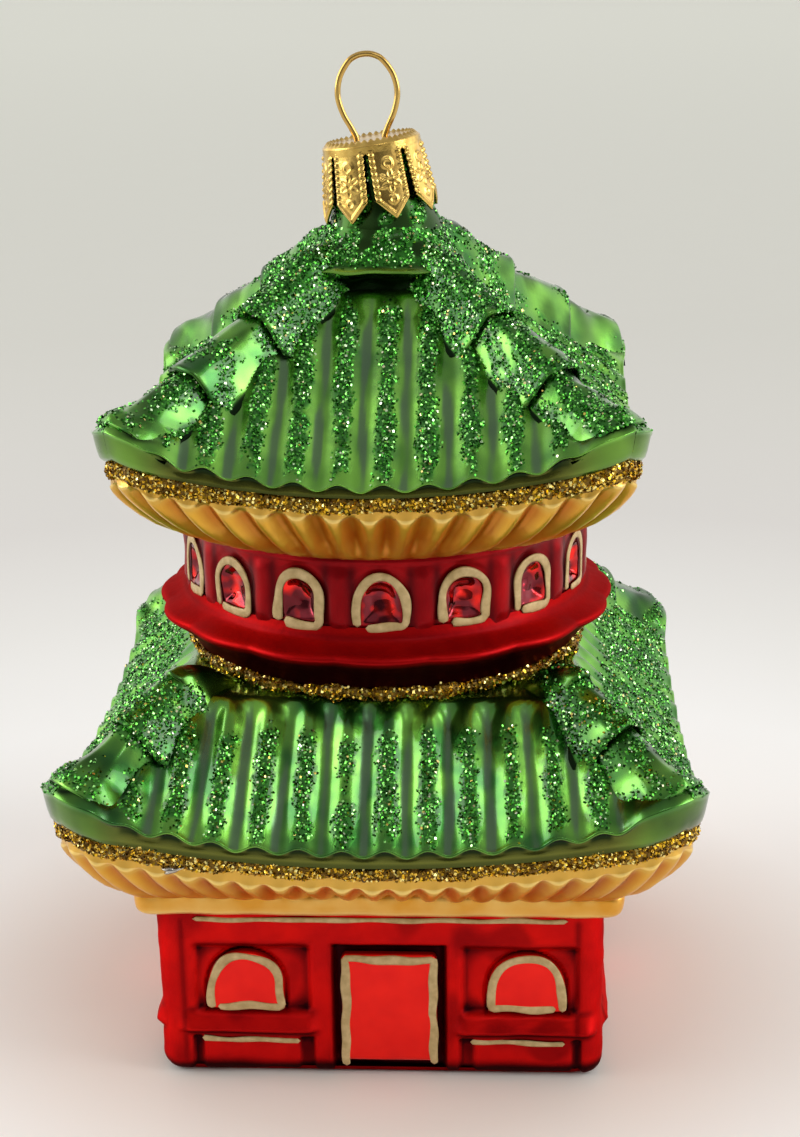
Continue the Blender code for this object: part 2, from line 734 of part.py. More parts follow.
def cap():
    thing = put("cap", cap_mesh(), "gold")
    solidify(thing, CAP_SHEET)
    frame = cap_frame(CAP_LEAN)
    thing.matrix_world = frame
    for hand in (-1, 1):
        shape = bmesh.new()
        bmesh.ops.create_cone(shape, cap_ends=True, segments=12, radius1=LEG_HOLE, radius2=LEG_HOLE,
                              depth=4 * MM)
        mesh = bpy.data.meshes.new(f"leg_hole_{hand + 1}")
        shape.to_mesh(mesh)
        shape.free()
        cutter = put_cutter(f"leg_hole_{hand + 1}", mesh)
        cutter.matrix_world = frame @ Matrix.Translation((hand * LEG_SPREAD, 0, 0))
        boolean(thing, cutter, "DIFFERENCE")


def hanging_loop():
    """The wire loop: a round-topped pear, drawn with sprung legs that stand in the neck."""
    path = list(LOOP_KNOTS) + [(-x, z) for x, z in LOOP_KNOTS[-2::-1]]
    curve = bpy.data.curves.new("hanging_loop", "CURVE")
    curve.dimensions = "3D"
    curve.bevel_depth = LOOP_WIRE
    curve.bevel_resolution = 2
    curve.use_fill_caps = True
    spline = curve.splines.new("POLY")
    fine = smooth_path(path, 2)
    spline.points.add(len(fine) - 1)
    for point, (x, z) in zip(spline.points, fine):
        point.co = (x * MM, 0.0, z * MM, 1.0)
    curve.materials.append(material("gold"))
    thing = bpy.data.objects.new("hanging_loop", curve)
    PARTS.objects.link(thing)
    thing.matrix_world = cap_frame(LOOP_LEAN)


def smooth_path(path, steps):
    """Points on a Catmull-Rom curve through the given ones."""
    out = []
    ends = [path[0]] + list(path) + [path[-1]]
    for i in range(1, len(ends) - 2):
        a, b, c, d = (Vector(p) for p in ends[i - 1:i + 3])
        for k in range(steps):
            t = k / steps
            out.append(tuple(0.5 * (2 * b + (c - a) * t + (2 * a - 5 * b + 4 * c - d) * t ** 2
                                    + (3 * b - a - 3 * c + d) * t ** 3)))
    out.append(tuple(path[-1]))
    return out


clear_scene()
PARTS = collection("pagoda_ornament")
CUTTERS = collection("cutters")

ground_storey()
cornice()
soffit(LOWER, FASCIA_DROP[0], CORNICE_HALF - 0.3 * MM, 2.4 * MM, CORNICE_TOP + GAP)
glitter_band(LOWER, FASCIA_DROP[0])
roof_shell(LOWER, FASCIA_DROP[0])
hips(LOWER)
foot_ring()
skirt()
drum()
soffit(UPPER, FASCIA_DROP[1], DRUM_RADIUS + 0.3 * MM, DRUM_RADIUS + 0.2 * MM, DRUM_TOP + GAP)
glitter_band(UPPER, FASCIA_DROP[1])
roof_shell(UPPER, FASCIA_DROP[1])
hips(UPPER)
collar()
neck()
cap()
hanging_loop()
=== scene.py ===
"""Looks of a blown-glass tree ornament in the shape of a two-storey pagoda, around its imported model.

Shapes are worked out in millimetres, +Z up, with the front towards -Y, and the file follows the ornament
from its base up to the hanging loop."""

import math

import bpy
import numpy as np
from mathutils import Matrix, Vector


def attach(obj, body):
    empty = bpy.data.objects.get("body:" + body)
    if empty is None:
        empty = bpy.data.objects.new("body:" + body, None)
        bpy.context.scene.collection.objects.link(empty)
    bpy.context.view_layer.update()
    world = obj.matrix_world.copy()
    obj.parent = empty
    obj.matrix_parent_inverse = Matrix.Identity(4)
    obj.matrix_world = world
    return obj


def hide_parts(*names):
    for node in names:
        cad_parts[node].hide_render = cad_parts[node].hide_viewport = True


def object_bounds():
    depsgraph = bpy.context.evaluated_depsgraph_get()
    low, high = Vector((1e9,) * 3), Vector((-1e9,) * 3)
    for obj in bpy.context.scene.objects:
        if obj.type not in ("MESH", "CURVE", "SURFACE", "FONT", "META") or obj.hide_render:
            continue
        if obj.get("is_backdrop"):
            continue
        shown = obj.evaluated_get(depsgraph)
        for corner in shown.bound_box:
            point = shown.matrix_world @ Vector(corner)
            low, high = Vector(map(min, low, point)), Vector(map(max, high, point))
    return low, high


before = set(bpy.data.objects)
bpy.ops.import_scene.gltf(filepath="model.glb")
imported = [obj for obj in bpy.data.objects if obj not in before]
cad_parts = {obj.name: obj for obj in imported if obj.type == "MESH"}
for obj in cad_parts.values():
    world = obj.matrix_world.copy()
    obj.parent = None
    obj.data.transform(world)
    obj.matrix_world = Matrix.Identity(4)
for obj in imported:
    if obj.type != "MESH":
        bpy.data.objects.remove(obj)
cad_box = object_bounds()


# Camera. It stands a little right of the front and 17 degrees above the level, about a quarter of a metre
# away, with a slight roll. The fit to both roofs' corners, the drum and the base gave its place and lens.

VIEW_TURN, VIEW_RISE, VIEW_ROLL = (math.radians(a) for a in (3.016, 17.408, -0.822))
VIEW_DISTANCE = 0.265153
VIEW_LENS = 62.81
VIEW_TARGET = Vector((0.001868, 0.0, 0.05985))

back = Vector((math.sin(VIEW_TURN) * math.cos(VIEW_RISE), -math.cos(VIEW_TURN) * math.cos(VIEW_RISE),
               math.sin(VIEW_RISE)))
level = Vector((math.cos(VIEW_TURN), math.sin(VIEW_TURN), 0.0))
upright = back.cross(level)
right = level * math.cos(VIEW_ROLL) + upright * math.sin(VIEW_ROLL)
above = back.cross(right)
camera = bpy.data.objects.new("camera", bpy.data.cameras.new("camera"))
camera.data.lens = VIEW_LENS
camera.data.sensor_width = 36.0
camera.data.clip_start = 0.01
turn = Matrix((right, above, back)).transposed().to_4x4()
camera.matrix_world = Matrix.Translation(VIEW_TARGET + back * VIEW_DISTANCE) @ turn
bpy.context.scene.collection.objects.link(camera)
bpy.context.scene.camera = camera


# Floor and light. A pale tabletop in an evenly lit room with a soft window light at each side. The ceiling and
# the room in front are dimmer, which gives the mirrored glass the dark parts of its reflections.

FLOOR_REACH = 9.0
# Floor colours by distance from the ornament: a painted shadow darkens it close round the foot, paler beyond.
FLOOR_SHADE_TONES = ((0.12, (0.82, 0.78, 0.73)), (0.19, (0.97, 0.95, 0.93)), (0.27, (0.95, 0.945, 0.93)),
               (0.36, (0.84, 0.83, 0.80)), (0.45, (0.75, 0.73, 0.70)), (0.625, (0.77, 0.765, 0.705)),
               (0.91, (0.94, 0.955, 0.86)))


class Wire:
    """One output of a material's node. Arithmetic on it adds Math nodes, and add() adds any other node."""

    def __init__(self, tree, socket=None):
        self.tree = tree
        self.socket = socket

    def add(self, kind, settings=None, inputs=None, out=0):
        """A node of a type, with its settings made first and then its inputs, each a value or a wire."""
        node = self.tree.nodes.new(kind)
        for name, value in (settings or {}).items():
            if name == "stops":
                while len(node.color_ramp.elements) < len(value):
                    node.color_ramp.elements.new(1.0)
                for stop, (place, colour) in zip(node.color_ramp.elements, value):
                    stop.position = place
                    stop.color = (*colour, 1.0)
            else:
                setattr(node, name, value)
        for name, value in (inputs or {}).items():
            if isinstance(value, Wire):
                self.tree.links.new(value.socket, node.inputs[name])
            else:
                node.inputs[name].default_value = value
        return Wire(self.tree, node.outputs[out])

    def maths(self, operation, first, second):
        return self.add("ShaderNodeMath", {"operation": operation}, {0: first, 1: second})

    def __add__(self, other):
        return self.maths("ADD", self, other)

    def __sub__(self, other):
        return self.maths("SUBTRACT", self, other)

    def __rsub__(self, other):
        return self.maths("SUBTRACT", other, self)

    def __mul__(self, other):
        return self.maths("MULTIPLY", self, other)

    def __pow__(self, other):
        return self.maths("POWER", self, other)

    __radd__ = __add__
    __rmul__ = __mul__

    def between(self, low, high):
        """This value's eased share of the way from low to high, from 0 to 1."""
        return self.add("ShaderNodeMapRange", {"interpolation_type": "SMOOTHSTEP"},
                        {"Value": self, "From Min": low, "From Max": high})

    def fade(self, first, second):
        """The first colour where this value is 0, the second where it is 1."""
        return self.add("ShaderNodeMix", {"data_type": "RGBA"},
                        {0: self, 6: paint(first), 7: paint(second)}, out=2)

    def into(self, shader, name):
        self.tree.links.new(self.socket, shader.inputs[name])


def paint(colour):
    """A colour as a node's input takes it, or a wire as it is."""
    return colour if isinstance(colour, Wire) else (*colour, 1.0)


def new_finish(name, **even):
    """A material whose Principled shader has these even values; gives it, its shader and a first wire."""
    made = bpy.data.materials.new(name)
    made.use_nodes = True
    shader = made.node_tree.nodes["Principled BSDF"]
    for socket, value in even.items():
        shader.inputs[socket.replace("_", " ").title().replace("Ior", "IOR")].default_value = value
    return made, shader, Wire(made.node_tree)


def place_wire(wire):
    """The place on the object, in metres."""
    return wire.add("ShaderNodeTexCoord", out="Object")


def cloudy(wire, scale, detail=2.0):
    """Soft noise from 0 to 1, with about this many features to a metre."""
    return wire.add("ShaderNodeTexNoise", {},
                    {"Vector": place_wire(wire), "Scale": scale, "Detail": detail}, out="Fac")


def mark_wire(wire, name):
    """A value that is kept on the mesh for each point."""
    return wire.add("ShaderNodeAttribute", {"attribute_name": name}, out="Fac")


def bumpy(wire, height, depth):
    """A normal tilted by a height from 0 to 1 that stands for this depth in metres."""
    return wire.add("ShaderNodeBump", {}, {"Height": height, "Distance": depth, "Strength": 1.0})


tabletop, shader, wire = new_finish("pale_tabletop", roughness=0.55)
far_off = place_wire(wire).add("ShaderNodeVectorMath", {"operation": "LENGTH"},
                               {0: place_wire(wire)}, out="Value")
share = far_off.maths("DIVIDE", far_off, far_off + 0.3)
# Painted shadow: the tabletop's colour darkens close round the ornament.
share.add("ShaderNodeValToRGB", {"stops": FLOOR_SHADE_TONES}, {0: share}).into(shader, "Base Color")
(0.5 + 0.1 * cloudy(wire, 40.0)).into(shader, "Roughness")
floor_mesh = bpy.data.meshes.new("tabletop")
floor_mesh.from_pydata([(x * FLOOR_REACH, y * FLOOR_REACH, 0.0) for x, y in ((-1, -1), (1, -1), (1, 1), (-1, 1))],
                       [], [(0, 1, 2, 3)])
floor_mesh.materials.append(tabletop)
floor_piece = bpy.data.objects.new("tabletop", floor_mesh)
bpy.context.scene.collection.objects.link(floor_piece)
floor_piece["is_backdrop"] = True


def softbox(name, place, aim, width, height, watts, colour=(1.0, 1.0, 1.0)):
    """A rectangular soft light at a place, facing a point, both in metres."""
    light = bpy.data.lights.new(name, "AREA")
    light.shape = "RECTANGLE"
    light.size, light.size_y = width, height
    light.energy = watts
    light.color = colour
    lamp = bpy.data.objects.new(name, light)
    lamp.location = place
    lamp.rotation_euler = (Vector(aim) - Vector(place)).to_track_quat("-Z", "Y").to_euler()
    bpy.context.scene.collection.objects.link(lamp)


softbox("left_window_light", (-0.62, -0.05, 0.34), (0.0, 0.0, 0.07), 0.30, 0.45, 1.45)
softbox("right_window_light", (0.60, -0.16, 0.36), (0.0, 0.0, 0.07), 0.24, 0.45, 1.6)
softbox("front_strip", (0.22, -0.50, 0.62), (0.0, 0.0, 0.06), 0.30, 0.06, 0.32)

room = bpy.data.worlds.new("room")
room.use_nodes = True
bpy.context.scene.world = room
sky = room.node_tree.nodes["Background"]
wire = Wire(room.node_tree)
toward = wire.add("ShaderNodeSeparateXYZ", {}, {0: wire.add("ShaderNodeTexCoord", out="Generated")}, out="X")
deep, up = (Wire(room.node_tree, toward.socket.node.outputs[axis]) for axis in ("Y", "Z"))
side = toward.maths("ABSOLUTE", toward, 0.0).between(0.35, 0.85) * up.between(-0.1, 0.1) * up.between(0.85, 0.4)
front = deep.between(-0.25, -0.8) * up.between(0.75, 0.4)
strength = (0.82 - 0.34 * up.between(0.35, 0.9) + 0.85 * side) * (1.0 - 0.82 * front)
seen = wire.add("ShaderNodeLightPath", out="Is Camera Ray")
sky.inputs["Color"].default_value = (1.0, 0.985, 0.965, 1.0)
(seen * 0.60 + (1.0 - seen) * strength).into(sky, "Strength")
bpy.context.scene.view_settings.view_transform = "Standard"


# Square storey's walls. Dark red lacquer over silvered glass, sprayed thick enough to be satin, and darkened
# almost black in the mould's grooves with painted shade. One skin in the real thing, with a pocket for each pane.

WALL_HALF = 28.4
WALL_ROUND = 2.6
WALL_FOOT, WALL_HEAD = 0.35, 24.1
FOOT_ROUND = 2.4
DECOR_MIDDLE = 0.8
BAY_INNER, BAY_OUTER, BAY_LOW, BAY_HIGH = 9.7, 24.4, 9.2, 18.5
RAIL_TOP, RAIL_EDGE, RAIL_LOW = 9.3, 6.9, 6.15
DADO_LOW, DADO_HIGH = 2.2, 5.6
WINDOW_MIDDLE, WINDOW_HALF, WINDOW_LOW, WINDOW_HIGH = 17.9, 4.9, 9.6, 17.7
DOOR_MIDDLE, DOOR_HALF, DOOR_HIGH = 1.2, 6.1, 17.5
SIDES = ("front", "right", "back", "left")
# The last of these is the colour of painted shade, an almost black red for the hollows and creases.
RED_DEEP, RED_BRIGHT, RED_PAINTED_SHADE = (0.38, 0.003, 0.006), (0.76, 0.008, 0.006), (0.024, 0.0, 0.002)


def ease(value, low, high):
    """0 at low, 1 at high, and between them 3t^2 - 2t^3 of the share t of the way."""
    t = np.clip((value - low) / (high - low), 0.0, 1.0)
    return t * t * (3.0 - 2.0 * t)


def within(value, low, high, soft):
    """1 between low and high and 0 outside, each edge eased over the width soft."""
    return ease(value, low - soft / 2, low + soft / 2) * ease(value, high + soft / 2, high - soft / 2)


def arch_distance(x, z, half, low, high):
    """Distance out of a round-headed window, less than 0 inside: from its sides and sill below the
    spring of the arch, and from the circle about the spring's middle above it."""
    spring = high - half
    return np.where(z > spring, np.hypot(x, z - spring) - half, np.maximum(np.abs(x) - half, low - z))


def wobble(points, pitch, seed):
    """Unevenness of hand-blown glass, about -1 to 1: twice the mean of five sine waves that run in random
    directions through space, with wavelengths near pitch."""
    rng = np.random.default_rng(seed)
    way = rng.normal(size=(3, 5))
    way *= math.tau / pitch / rng.uniform(0.7, 1.5, 5) / np.linalg.norm(way, axis=0)
    return 2.0 * np.sin(points @ way + rng.uniform(0.0, math.tau, 5)).mean(axis=-1)


def hollow(field, reach):
    """How far each value lies below the mean of its surroundings, which are spread by averaging the grid
    with its neighbours reach times."""
    spread = field.copy()
    for _ in range(reach):
        spread[1:-1] = (spread[:-2] + spread[1:-1] * 2 + spread[2:]) / 4
        spread[:, 1:-1] = (spread[:, :-2] + spread[:, 1:-1] * 2 + spread[:, 2:]) / 4
    return spread - field


def skin(grid, marks=None, around=False):
    """Points, four-sided faces and marks of a grid of points. Rows that go up and columns that go
    anticlockwise face out; around joins the last column to the first."""
    rows, columns = grid.shape[:2]
    row, column = np.meshgrid(np.arange(rows - 1), np.arange(columns if around else columns - 1), indexing="ij")
    after = (column + 1) % columns
    quads = np.stack([row * columns + column, row * columns + after,
                      (row + 1) * columns + after, (row + 1) * columns + column], axis=-1).reshape(-1, 4)
    kept = {name: np.broadcast_to(value, (rows, columns)).ravel() for name, value in (marks or {}).items()}
    return grid.reshape(-1, 3), quads, kept


def joined(skins):
    """Several skins as one: each one's faces count on from the points before it."""
    starts = np.cumsum([0] + [len(points) for points, _, _ in skins[:-1]])
    return (np.concatenate([points for points, _, _ in skins]),
            np.concatenate([quads + start for (_, quads, _), start in zip(skins, starts)]),
            {name: np.concatenate([marks[name] for _, _, marks in skins]) for name in skins[0][2]})


def quarter_turned(points, quarters):
    """Points turned about the upright axis by a number of quarter turns, anticlockwise from above."""
    cos, sin = math.cos(quarters * math.pi / 2), math.sin(quarters * math.pi / 2)
    return points @ np.array([[cos, sin, 0.0], [-sin, cos, 0.0], [0.0, 0.0, 1.0]])


def add_piece(name, made, finish, nodes=(), weld=False):
    """An object from a skin in millimetres, riding on the root body and standing for its CAD nodes.
    Weld merges the points that meet at seams and poles."""
    points, quads, marks = made
    mesh = bpy.data.meshes.new(name)
    mesh.from_pydata((points * 0.001).tolist(), [], quads.tolist())
    for mark, values in marks.items():
        mesh.attributes.new(mark, "FLOAT", "POINT").data.foreach_set("value", values.astype(np.float32))
    mesh.shade_smooth()
    mesh.materials.append(finish)
    piece = bpy.data.objects.new(name, mesh)
    bpy.context.scene.collection.objects.link(piece)
    if weld:
        merge = piece.modifiers.new("weld", "WELD")
        merge.merge_threshold = 0.000002
    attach(piece, "root")
    if nodes:
        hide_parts(*nodes)
    return piece


def wall_place(s, z, out):
    """A point on the front wall: s along the wall from its middle, round the corner posts, at a height z
    and out from the face. The foot's rounding draws it in by a quarter circle."""
    straight = WALL_HALF - WALL_ROUND
    bend = np.clip((np.abs(s) - straight) / WALL_ROUND, 0.0, math.pi / 4)
    under = np.clip(FOOT_ROUND - z, 0.0, FOOT_ROUND)
    reach = WALL_ROUND + out - (FOOT_ROUND - np.sqrt(FOOT_ROUND ** 2 - under ** 2))
    x = np.where(np.abs(s) < straight, s, np.sign(s) * (straight + reach * np.sin(bend)))
    y = -straight - reach * np.cos(bend)
    return np.stack(np.broadcast_arrays(x, y, z), axis=-1)


def wall_relief(s, z):
    """Height of the wall's moulding: corner posts and a lintel a little proud, less the bays, the lower
    panels and the pockets for the panes, plus the two ledge rails, which slope out to a rounded edge."""
    across = np.abs(s - DECOR_MIDDLE)
    relief = 0.15 * ease(np.abs(s), 25.0, 26.4) + 0.12 * within(z, 19.0, 20.6, 1.2)
    relief = relief - 0.8 * within(across, BAY_INNER, BAY_OUTER, 1.3) * within(z, BAY_LOW, BAY_HIGH, 1.3)
    relief = relief - 0.7 * within(across, 9.3, 25.0, 0.7) * within(z, -9.0, DADO_HIGH, 0.5)
    panel = within(across, BAY_INNER + 1.5, BAY_OUTER - 0.7, 0.9) * within(z, -9.0, DADO_HIGH + 0.4, 0.6)
    relief = relief + 0.55 * panel
    window = arch_distance(across - WINDOW_MIDDLE, z, WINDOW_HALF + 0.35, WINDOW_LOW - 0.3, WINDOW_HIGH + 0.35)
    relief = np.minimum(relief, -1.15 * ease(window, 0.45, -0.1))
    door = np.maximum(np.abs(s - DOOR_MIDDLE) - DOOR_HALF - 0.75, z - DOOR_HIGH - 0.85)
    relief = np.minimum(relief, relief * ease(door, -0.2, 0.7) - 1.25 * ease(door, 0.7, -0.2))
    taper = within(across, 9.1, 26.2, 2.2)
    rail = np.clip((RAIL_TOP - z) / (RAIL_TOP - RAIL_EDGE), 0.0, 1.0) * ease(z, RAIL_LOW, RAIL_EDGE) ** 0.7 * taper
    return relief * (1 - rail) + 0.95 * rail


def bell(value, middle, width):
    """1 where a value is at the middle, falling off on both sides as exp(-d^2) of its distance in widths."""
    return np.exp(-((value - middle) / width) ** 2)


def wall_painted_shade(s, z, relief, points):
    """How much painted shade darkens the wall, 0 to 1, as the most of these: small and large hollows, the foot,
    both sides of the rails, beside the corner posts, the heads of the bays and the groove round the door, where
    shade falls; and darker patches here and there by chance."""
    across = np.abs(s - DECOR_MIDDLE)
    rails = within(across, 9.1, 26.2, 2.2)
    door = np.maximum(np.abs(s - DOOR_MIDDLE) - DOOR_HALF, z - DOOR_HIGH)
    return np.max([ease(hollow(relief, 16), 0.03, 0.32), 0.85 * ease(hollow(relief, 72), 0.05, 0.42),
                   ease(z + 0.5 * wobble(points, 8.0, 23), 3.0, 1.3),
                   0.95 * bell(z, RAIL_LOW + 0.1, 0.6) * rails, 0.6 * bell(z, RAIL_TOP + 0.1, 0.45) * rails,
                   0.6 * bell(np.abs(s), 25.1, 0.45) * within(z, 1.0, 22.5, 1.0),
                   0.65 * bell(z, BAY_HIGH + 0.2, 0.45) * within(across, BAY_INNER, BAY_OUTER, 1.3),
                   within(door, -0.6, 1.2, 1.1), 0.4 * ease(wobble(points, 9.0, 24), 0.1, 0.9)], axis=0)


satin_red, shader, wire = new_finish("satin_red", metallic=0.94, coat_weight=0.04, coat_roughness=0.25,
                                     specular_tint=(0.75, 0.10, 0.10, 1.0))
# Painted shade: where the mark is, the red darkens to almost black.
pool = mark_wire(wire, "pool")
tone = cloudy(wire, 140.0, 3.0)
coat = (tone * 1.6 - 0.1).fade(RED_DEEP, RED_BRIGHT)
pool.fade(coat, RED_PAINTED_SHADE).into(shader, "Base Color")
(0.42 + 0.14 * cloudy(wire, 900.0)).into(shader, "Roughness")
bumpy(wire, cloudy(wire, 1400.0, 3.0), 0.00004).into(shader, "Normal")

wall_s = np.linspace(-27.95, 27.95, 190)
wall_z = np.linspace(WALL_FOOT, WALL_HEAD, 82)
for quarter, side in enumerate(SIDES):
    s, z = np.meshgrid(wall_s, wall_z)
    relief = wall_relief(s, z)
    flat = quarter_turned(wall_place(s, z, 0.0), quarter)
    # Painted shade of the hollows, rails, posts, bays, door groove and foot, kept as a mark on the skin.
    shade_amount = wall_painted_shade(s, z, relief, flat)
    relief = relief + 0.14 * wobble(flat, 11.0, 21) + 0.05 * wobble(flat, 3.2, 22)
    grid = quarter_turned(wall_place(s, z, relief), quarter)
    add_piece(f"{side}_wall_skin", skin(grid, {"pool": shade_amount}), satin_red, (f"{side}_wall",))


# Bottom of the glass. The flat foot the ornament stands on, rounded up to the walls all round.

def square_ring(half, corner, share):
    """Points and outward directions round a square with rounded corners, at shares of the way round,
    anticlockwise from the middle of the front: along half a side, round the corner, along the next half."""
    straight = half - corner
    arc = corner * math.pi / 2
    quarter = np.floor(share * 4.0)
    way = (share * 4.0 - quarter) * (2 * straight + arc)
    bend = np.clip((way - straight) / np.maximum(corner, 1e-9), 0.0, math.pi / 2)
    x = np.minimum(way, straight) + corner * np.sin(bend)
    y = -straight - corner * np.cos(bend) + np.maximum(way - straight - arc, 0.0)
    cos, sin = np.cos(quarter * math.pi / 2), np.sin(quarter * math.pi / 2)
    out_x, out_y = np.sin(bend), -np.cos(bend)
    return x * cos - y * sin, x * sin + y * cos, out_x * cos - out_y * sin, out_x * sin + out_y * cos


FOOT_RINGS = ((0.003, 0.0), (8.0, 0.0), (17.0, 0.0), (24.0, 0.0), (26.0, 0.0), (26.9, 0.12), (27.3, 0.4), (27.4, 0.9))
round_share = np.arange(240) / 240.0
foot_rows = []
for half, z in FOOT_RINGS:
    x, y, _, _ = square_ring(half, half / 9.0, round_share)
    foot_rows.append(np.stack([x, y, np.full_like(x, z)], axis=-1))
# The flat foot is darkened all over with painted shade.
add_piece("base_foot", skin(np.array(foot_rows), {"pool": 0.6}, around=True), satin_red,
          ("base_floor",), weld=True)


# Panes of the square storey. Bright red gloss lacquer on raised, slightly domed panels, with the door one
# tall panel. They fill the walls' pockets and leave a groove round them, which painted shade on the wall darkens.

PANE_BRIGHT, PANE_DEEP = (1.0, 0.014, 0.006), (0.84, 0.006, 0.004)


def even_outline(path, count, closed=True):
    """A path of straight steps, as points that are equally far apart along it."""
    path = np.concatenate([path, path[:1]]) if closed else path
    length = np.concatenate([[0.0], np.cumsum(np.linalg.norm(np.diff(path, axis=0), axis=1))])
    at = np.linspace(0.0, length[-1], count + 1)[:-1] if closed else np.linspace(0.0, length[-1], count)
    return np.stack([np.interp(at, length, path[:, k]) for k in range(path.shape[1])], axis=-1)


def arch_path(half, low, high):
    """Outline of a round-headed window about its own middle line, anticlockwise from its lower left."""
    angle = np.linspace(0.0, math.pi, 40)
    head = np.stack([half * np.cos(angle), high - half + half * np.sin(angle)], axis=-1)
    return np.concatenate([[(-half, low), (0.0, low), (half, low)], head])


def pane_grid(outline, middle, seed):
    """A domed pane on the front wall: rings of its outline shrunk to the middle, 0.2 mm proud there, level
    at the wall's face near the rim, then rounded back into the pocket."""
    share = np.array([0.0001, 0.25, 0.5, 0.7, 0.84, 0.92, 0.965, 0.99, 1.0, 1.0])[:, None]
    out = np.array([0.12, 0.11, 0.08, 0.05, 0.03, 0.0, -0.08, -0.25, -0.6, -1.1])[:, None]
    x = middle[0] + (outline[:, 0] - middle[0]) * share
    z = middle[1] + (outline[:, 1] - middle[1]) * share
    flat = wall_place(x, z, 0.0)
    return wall_place(x, z, out + 0.07 * wobble(flat, 6.0, seed) * (share < 0.95))


gloss_red, shader, wire = new_finish("gloss_red", metallic=0.8, coat_weight=0.15, coat_roughness=0.08)
tone = cloudy(wire, 260.0, 2.0)
(tone * 1.8 - 0.4).fade(PANE_DEEP, PANE_BRIGHT).into(shader, "Base Color")
(0.24 + 0.16 * cloudy(wire, 420.0, 3.0)).into(shader, "Roughness")
bumpy(wire, cloudy(wire, 300.0, 2.0), 0.00008).into(shader, "Normal")

door_path = np.array([(-DOOR_HALF, 2.3), (DOOR_HALF, 2.3), (DOOR_HALF, DOOR_HIGH - 0.5), (DOOR_HALF - 0.5, DOOR_HIGH),
                      (0.5 - DOOR_HALF, DOOR_HIGH), (-DOOR_HALF, DOOR_HIGH - 0.5)])
door_outline = even_outline(door_path, 120) + (DOOR_MIDDLE, 0.0)
for quarter, side in enumerate(SIDES):
    grid = pane_grid(door_outline, (DOOR_MIDDLE, 9.0), 40 + quarter)
    add_piece(f"{side}_door_panel", skin(quarter_turned(grid, quarter)[::-1], around=True), gloss_red,
              (f"{side}_door",), weld=True)
    for hand, label in ((-1, "left"), (1, "right")):
        middle = DECOR_MIDDLE + hand * WINDOW_MIDDLE
        outline = even_outline(arch_path(WINDOW_HALF, WINDOW_LOW, WINDOW_HIGH), 90) + (middle, 0.0)
        grid = pane_grid(outline, (middle, 13.0), 50 + quarter * 2 + hand)
        add_piece(f"{side}_{label}_pane", skin(quarter_turned(grid, quarter)[::-1], around=True), gloss_red,
                  (f"{side}_{label}_window",), weld=True)


# Painted outlines of the square storey. Thick cream-gold enamel laid on by hand with a fine brush round
# each pane, under the ledge rails and under the moulding: uneven in width, and not always joined up.

ENAMEL_LIGHT, ENAMEL_DARK = (0.68, 0.51, 0.25), (0.42, 0.29, 0.11)


def brush_line(path, normal, width, thick, seed):
    """A bead of paint along a path: an ellipse across it, flat underneath, whose width swells and shrinks
    by a fifth and whose ends round off; the path itself strays a little sideways."""
    rng = np.random.default_rng(seed)
    count = len(path)
    along = np.linspace(0.0, 1.0, count)
    length = np.linalg.norm(np.diff(path, axis=0), axis=1).sum()
    waves = rng.uniform(0.6, 1.6, 4) * length / 8.0
    strays = np.sin(math.tau * (along[:, None] * waves + rng.random(4)))
    tangent = np.gradient(path, axis=0)
    tangent /= np.linalg.norm(tangent, axis=1, keepdims=True)
    side = np.cross(normal, tangent)
    side /= np.linalg.norm(side, axis=1, keepdims=True)
    end = np.sqrt(np.clip(1.0 - (np.maximum(0.5 - along * length / width, (along - 1) * length / width + 0.5)
                                 .clip(0.0) * 2.0) ** 2, 0.0, 1.0))
    half = width / 2 * (1.0 + 0.2 * strays[:, :2].mean(axis=1)) * end
    centre = path + side * (0.14 * width * strays[:, 2:].mean(axis=1))[:, None]
    angle = np.linspace(0.0, math.tau, 9)[:-1]
    rise = np.sign(np.sin(angle)) * np.abs(np.sin(angle)) ** 0.6 * thick
    return (centre[:, None] + side[:, None] * (half[:, None] * np.cos(angle))[..., None]
            + normal[:, None] * (rise * np.minimum(end, 1.0)[:, None])[..., None])


enamel, shader, wire = new_finish("cream_gold_enamel", metallic=0.15, roughness=0.45)
tone = cloudy(wire, 900.0, 4.0)
(tone * 2.2 - 0.6).fade(ENAMEL_DARK, ENAMEL_LIGHT).into(shader, "Base Color")
bumpy(wire, cloudy(wire, 1300.0, 2.0), 0.00003).into(shader, "Normal")

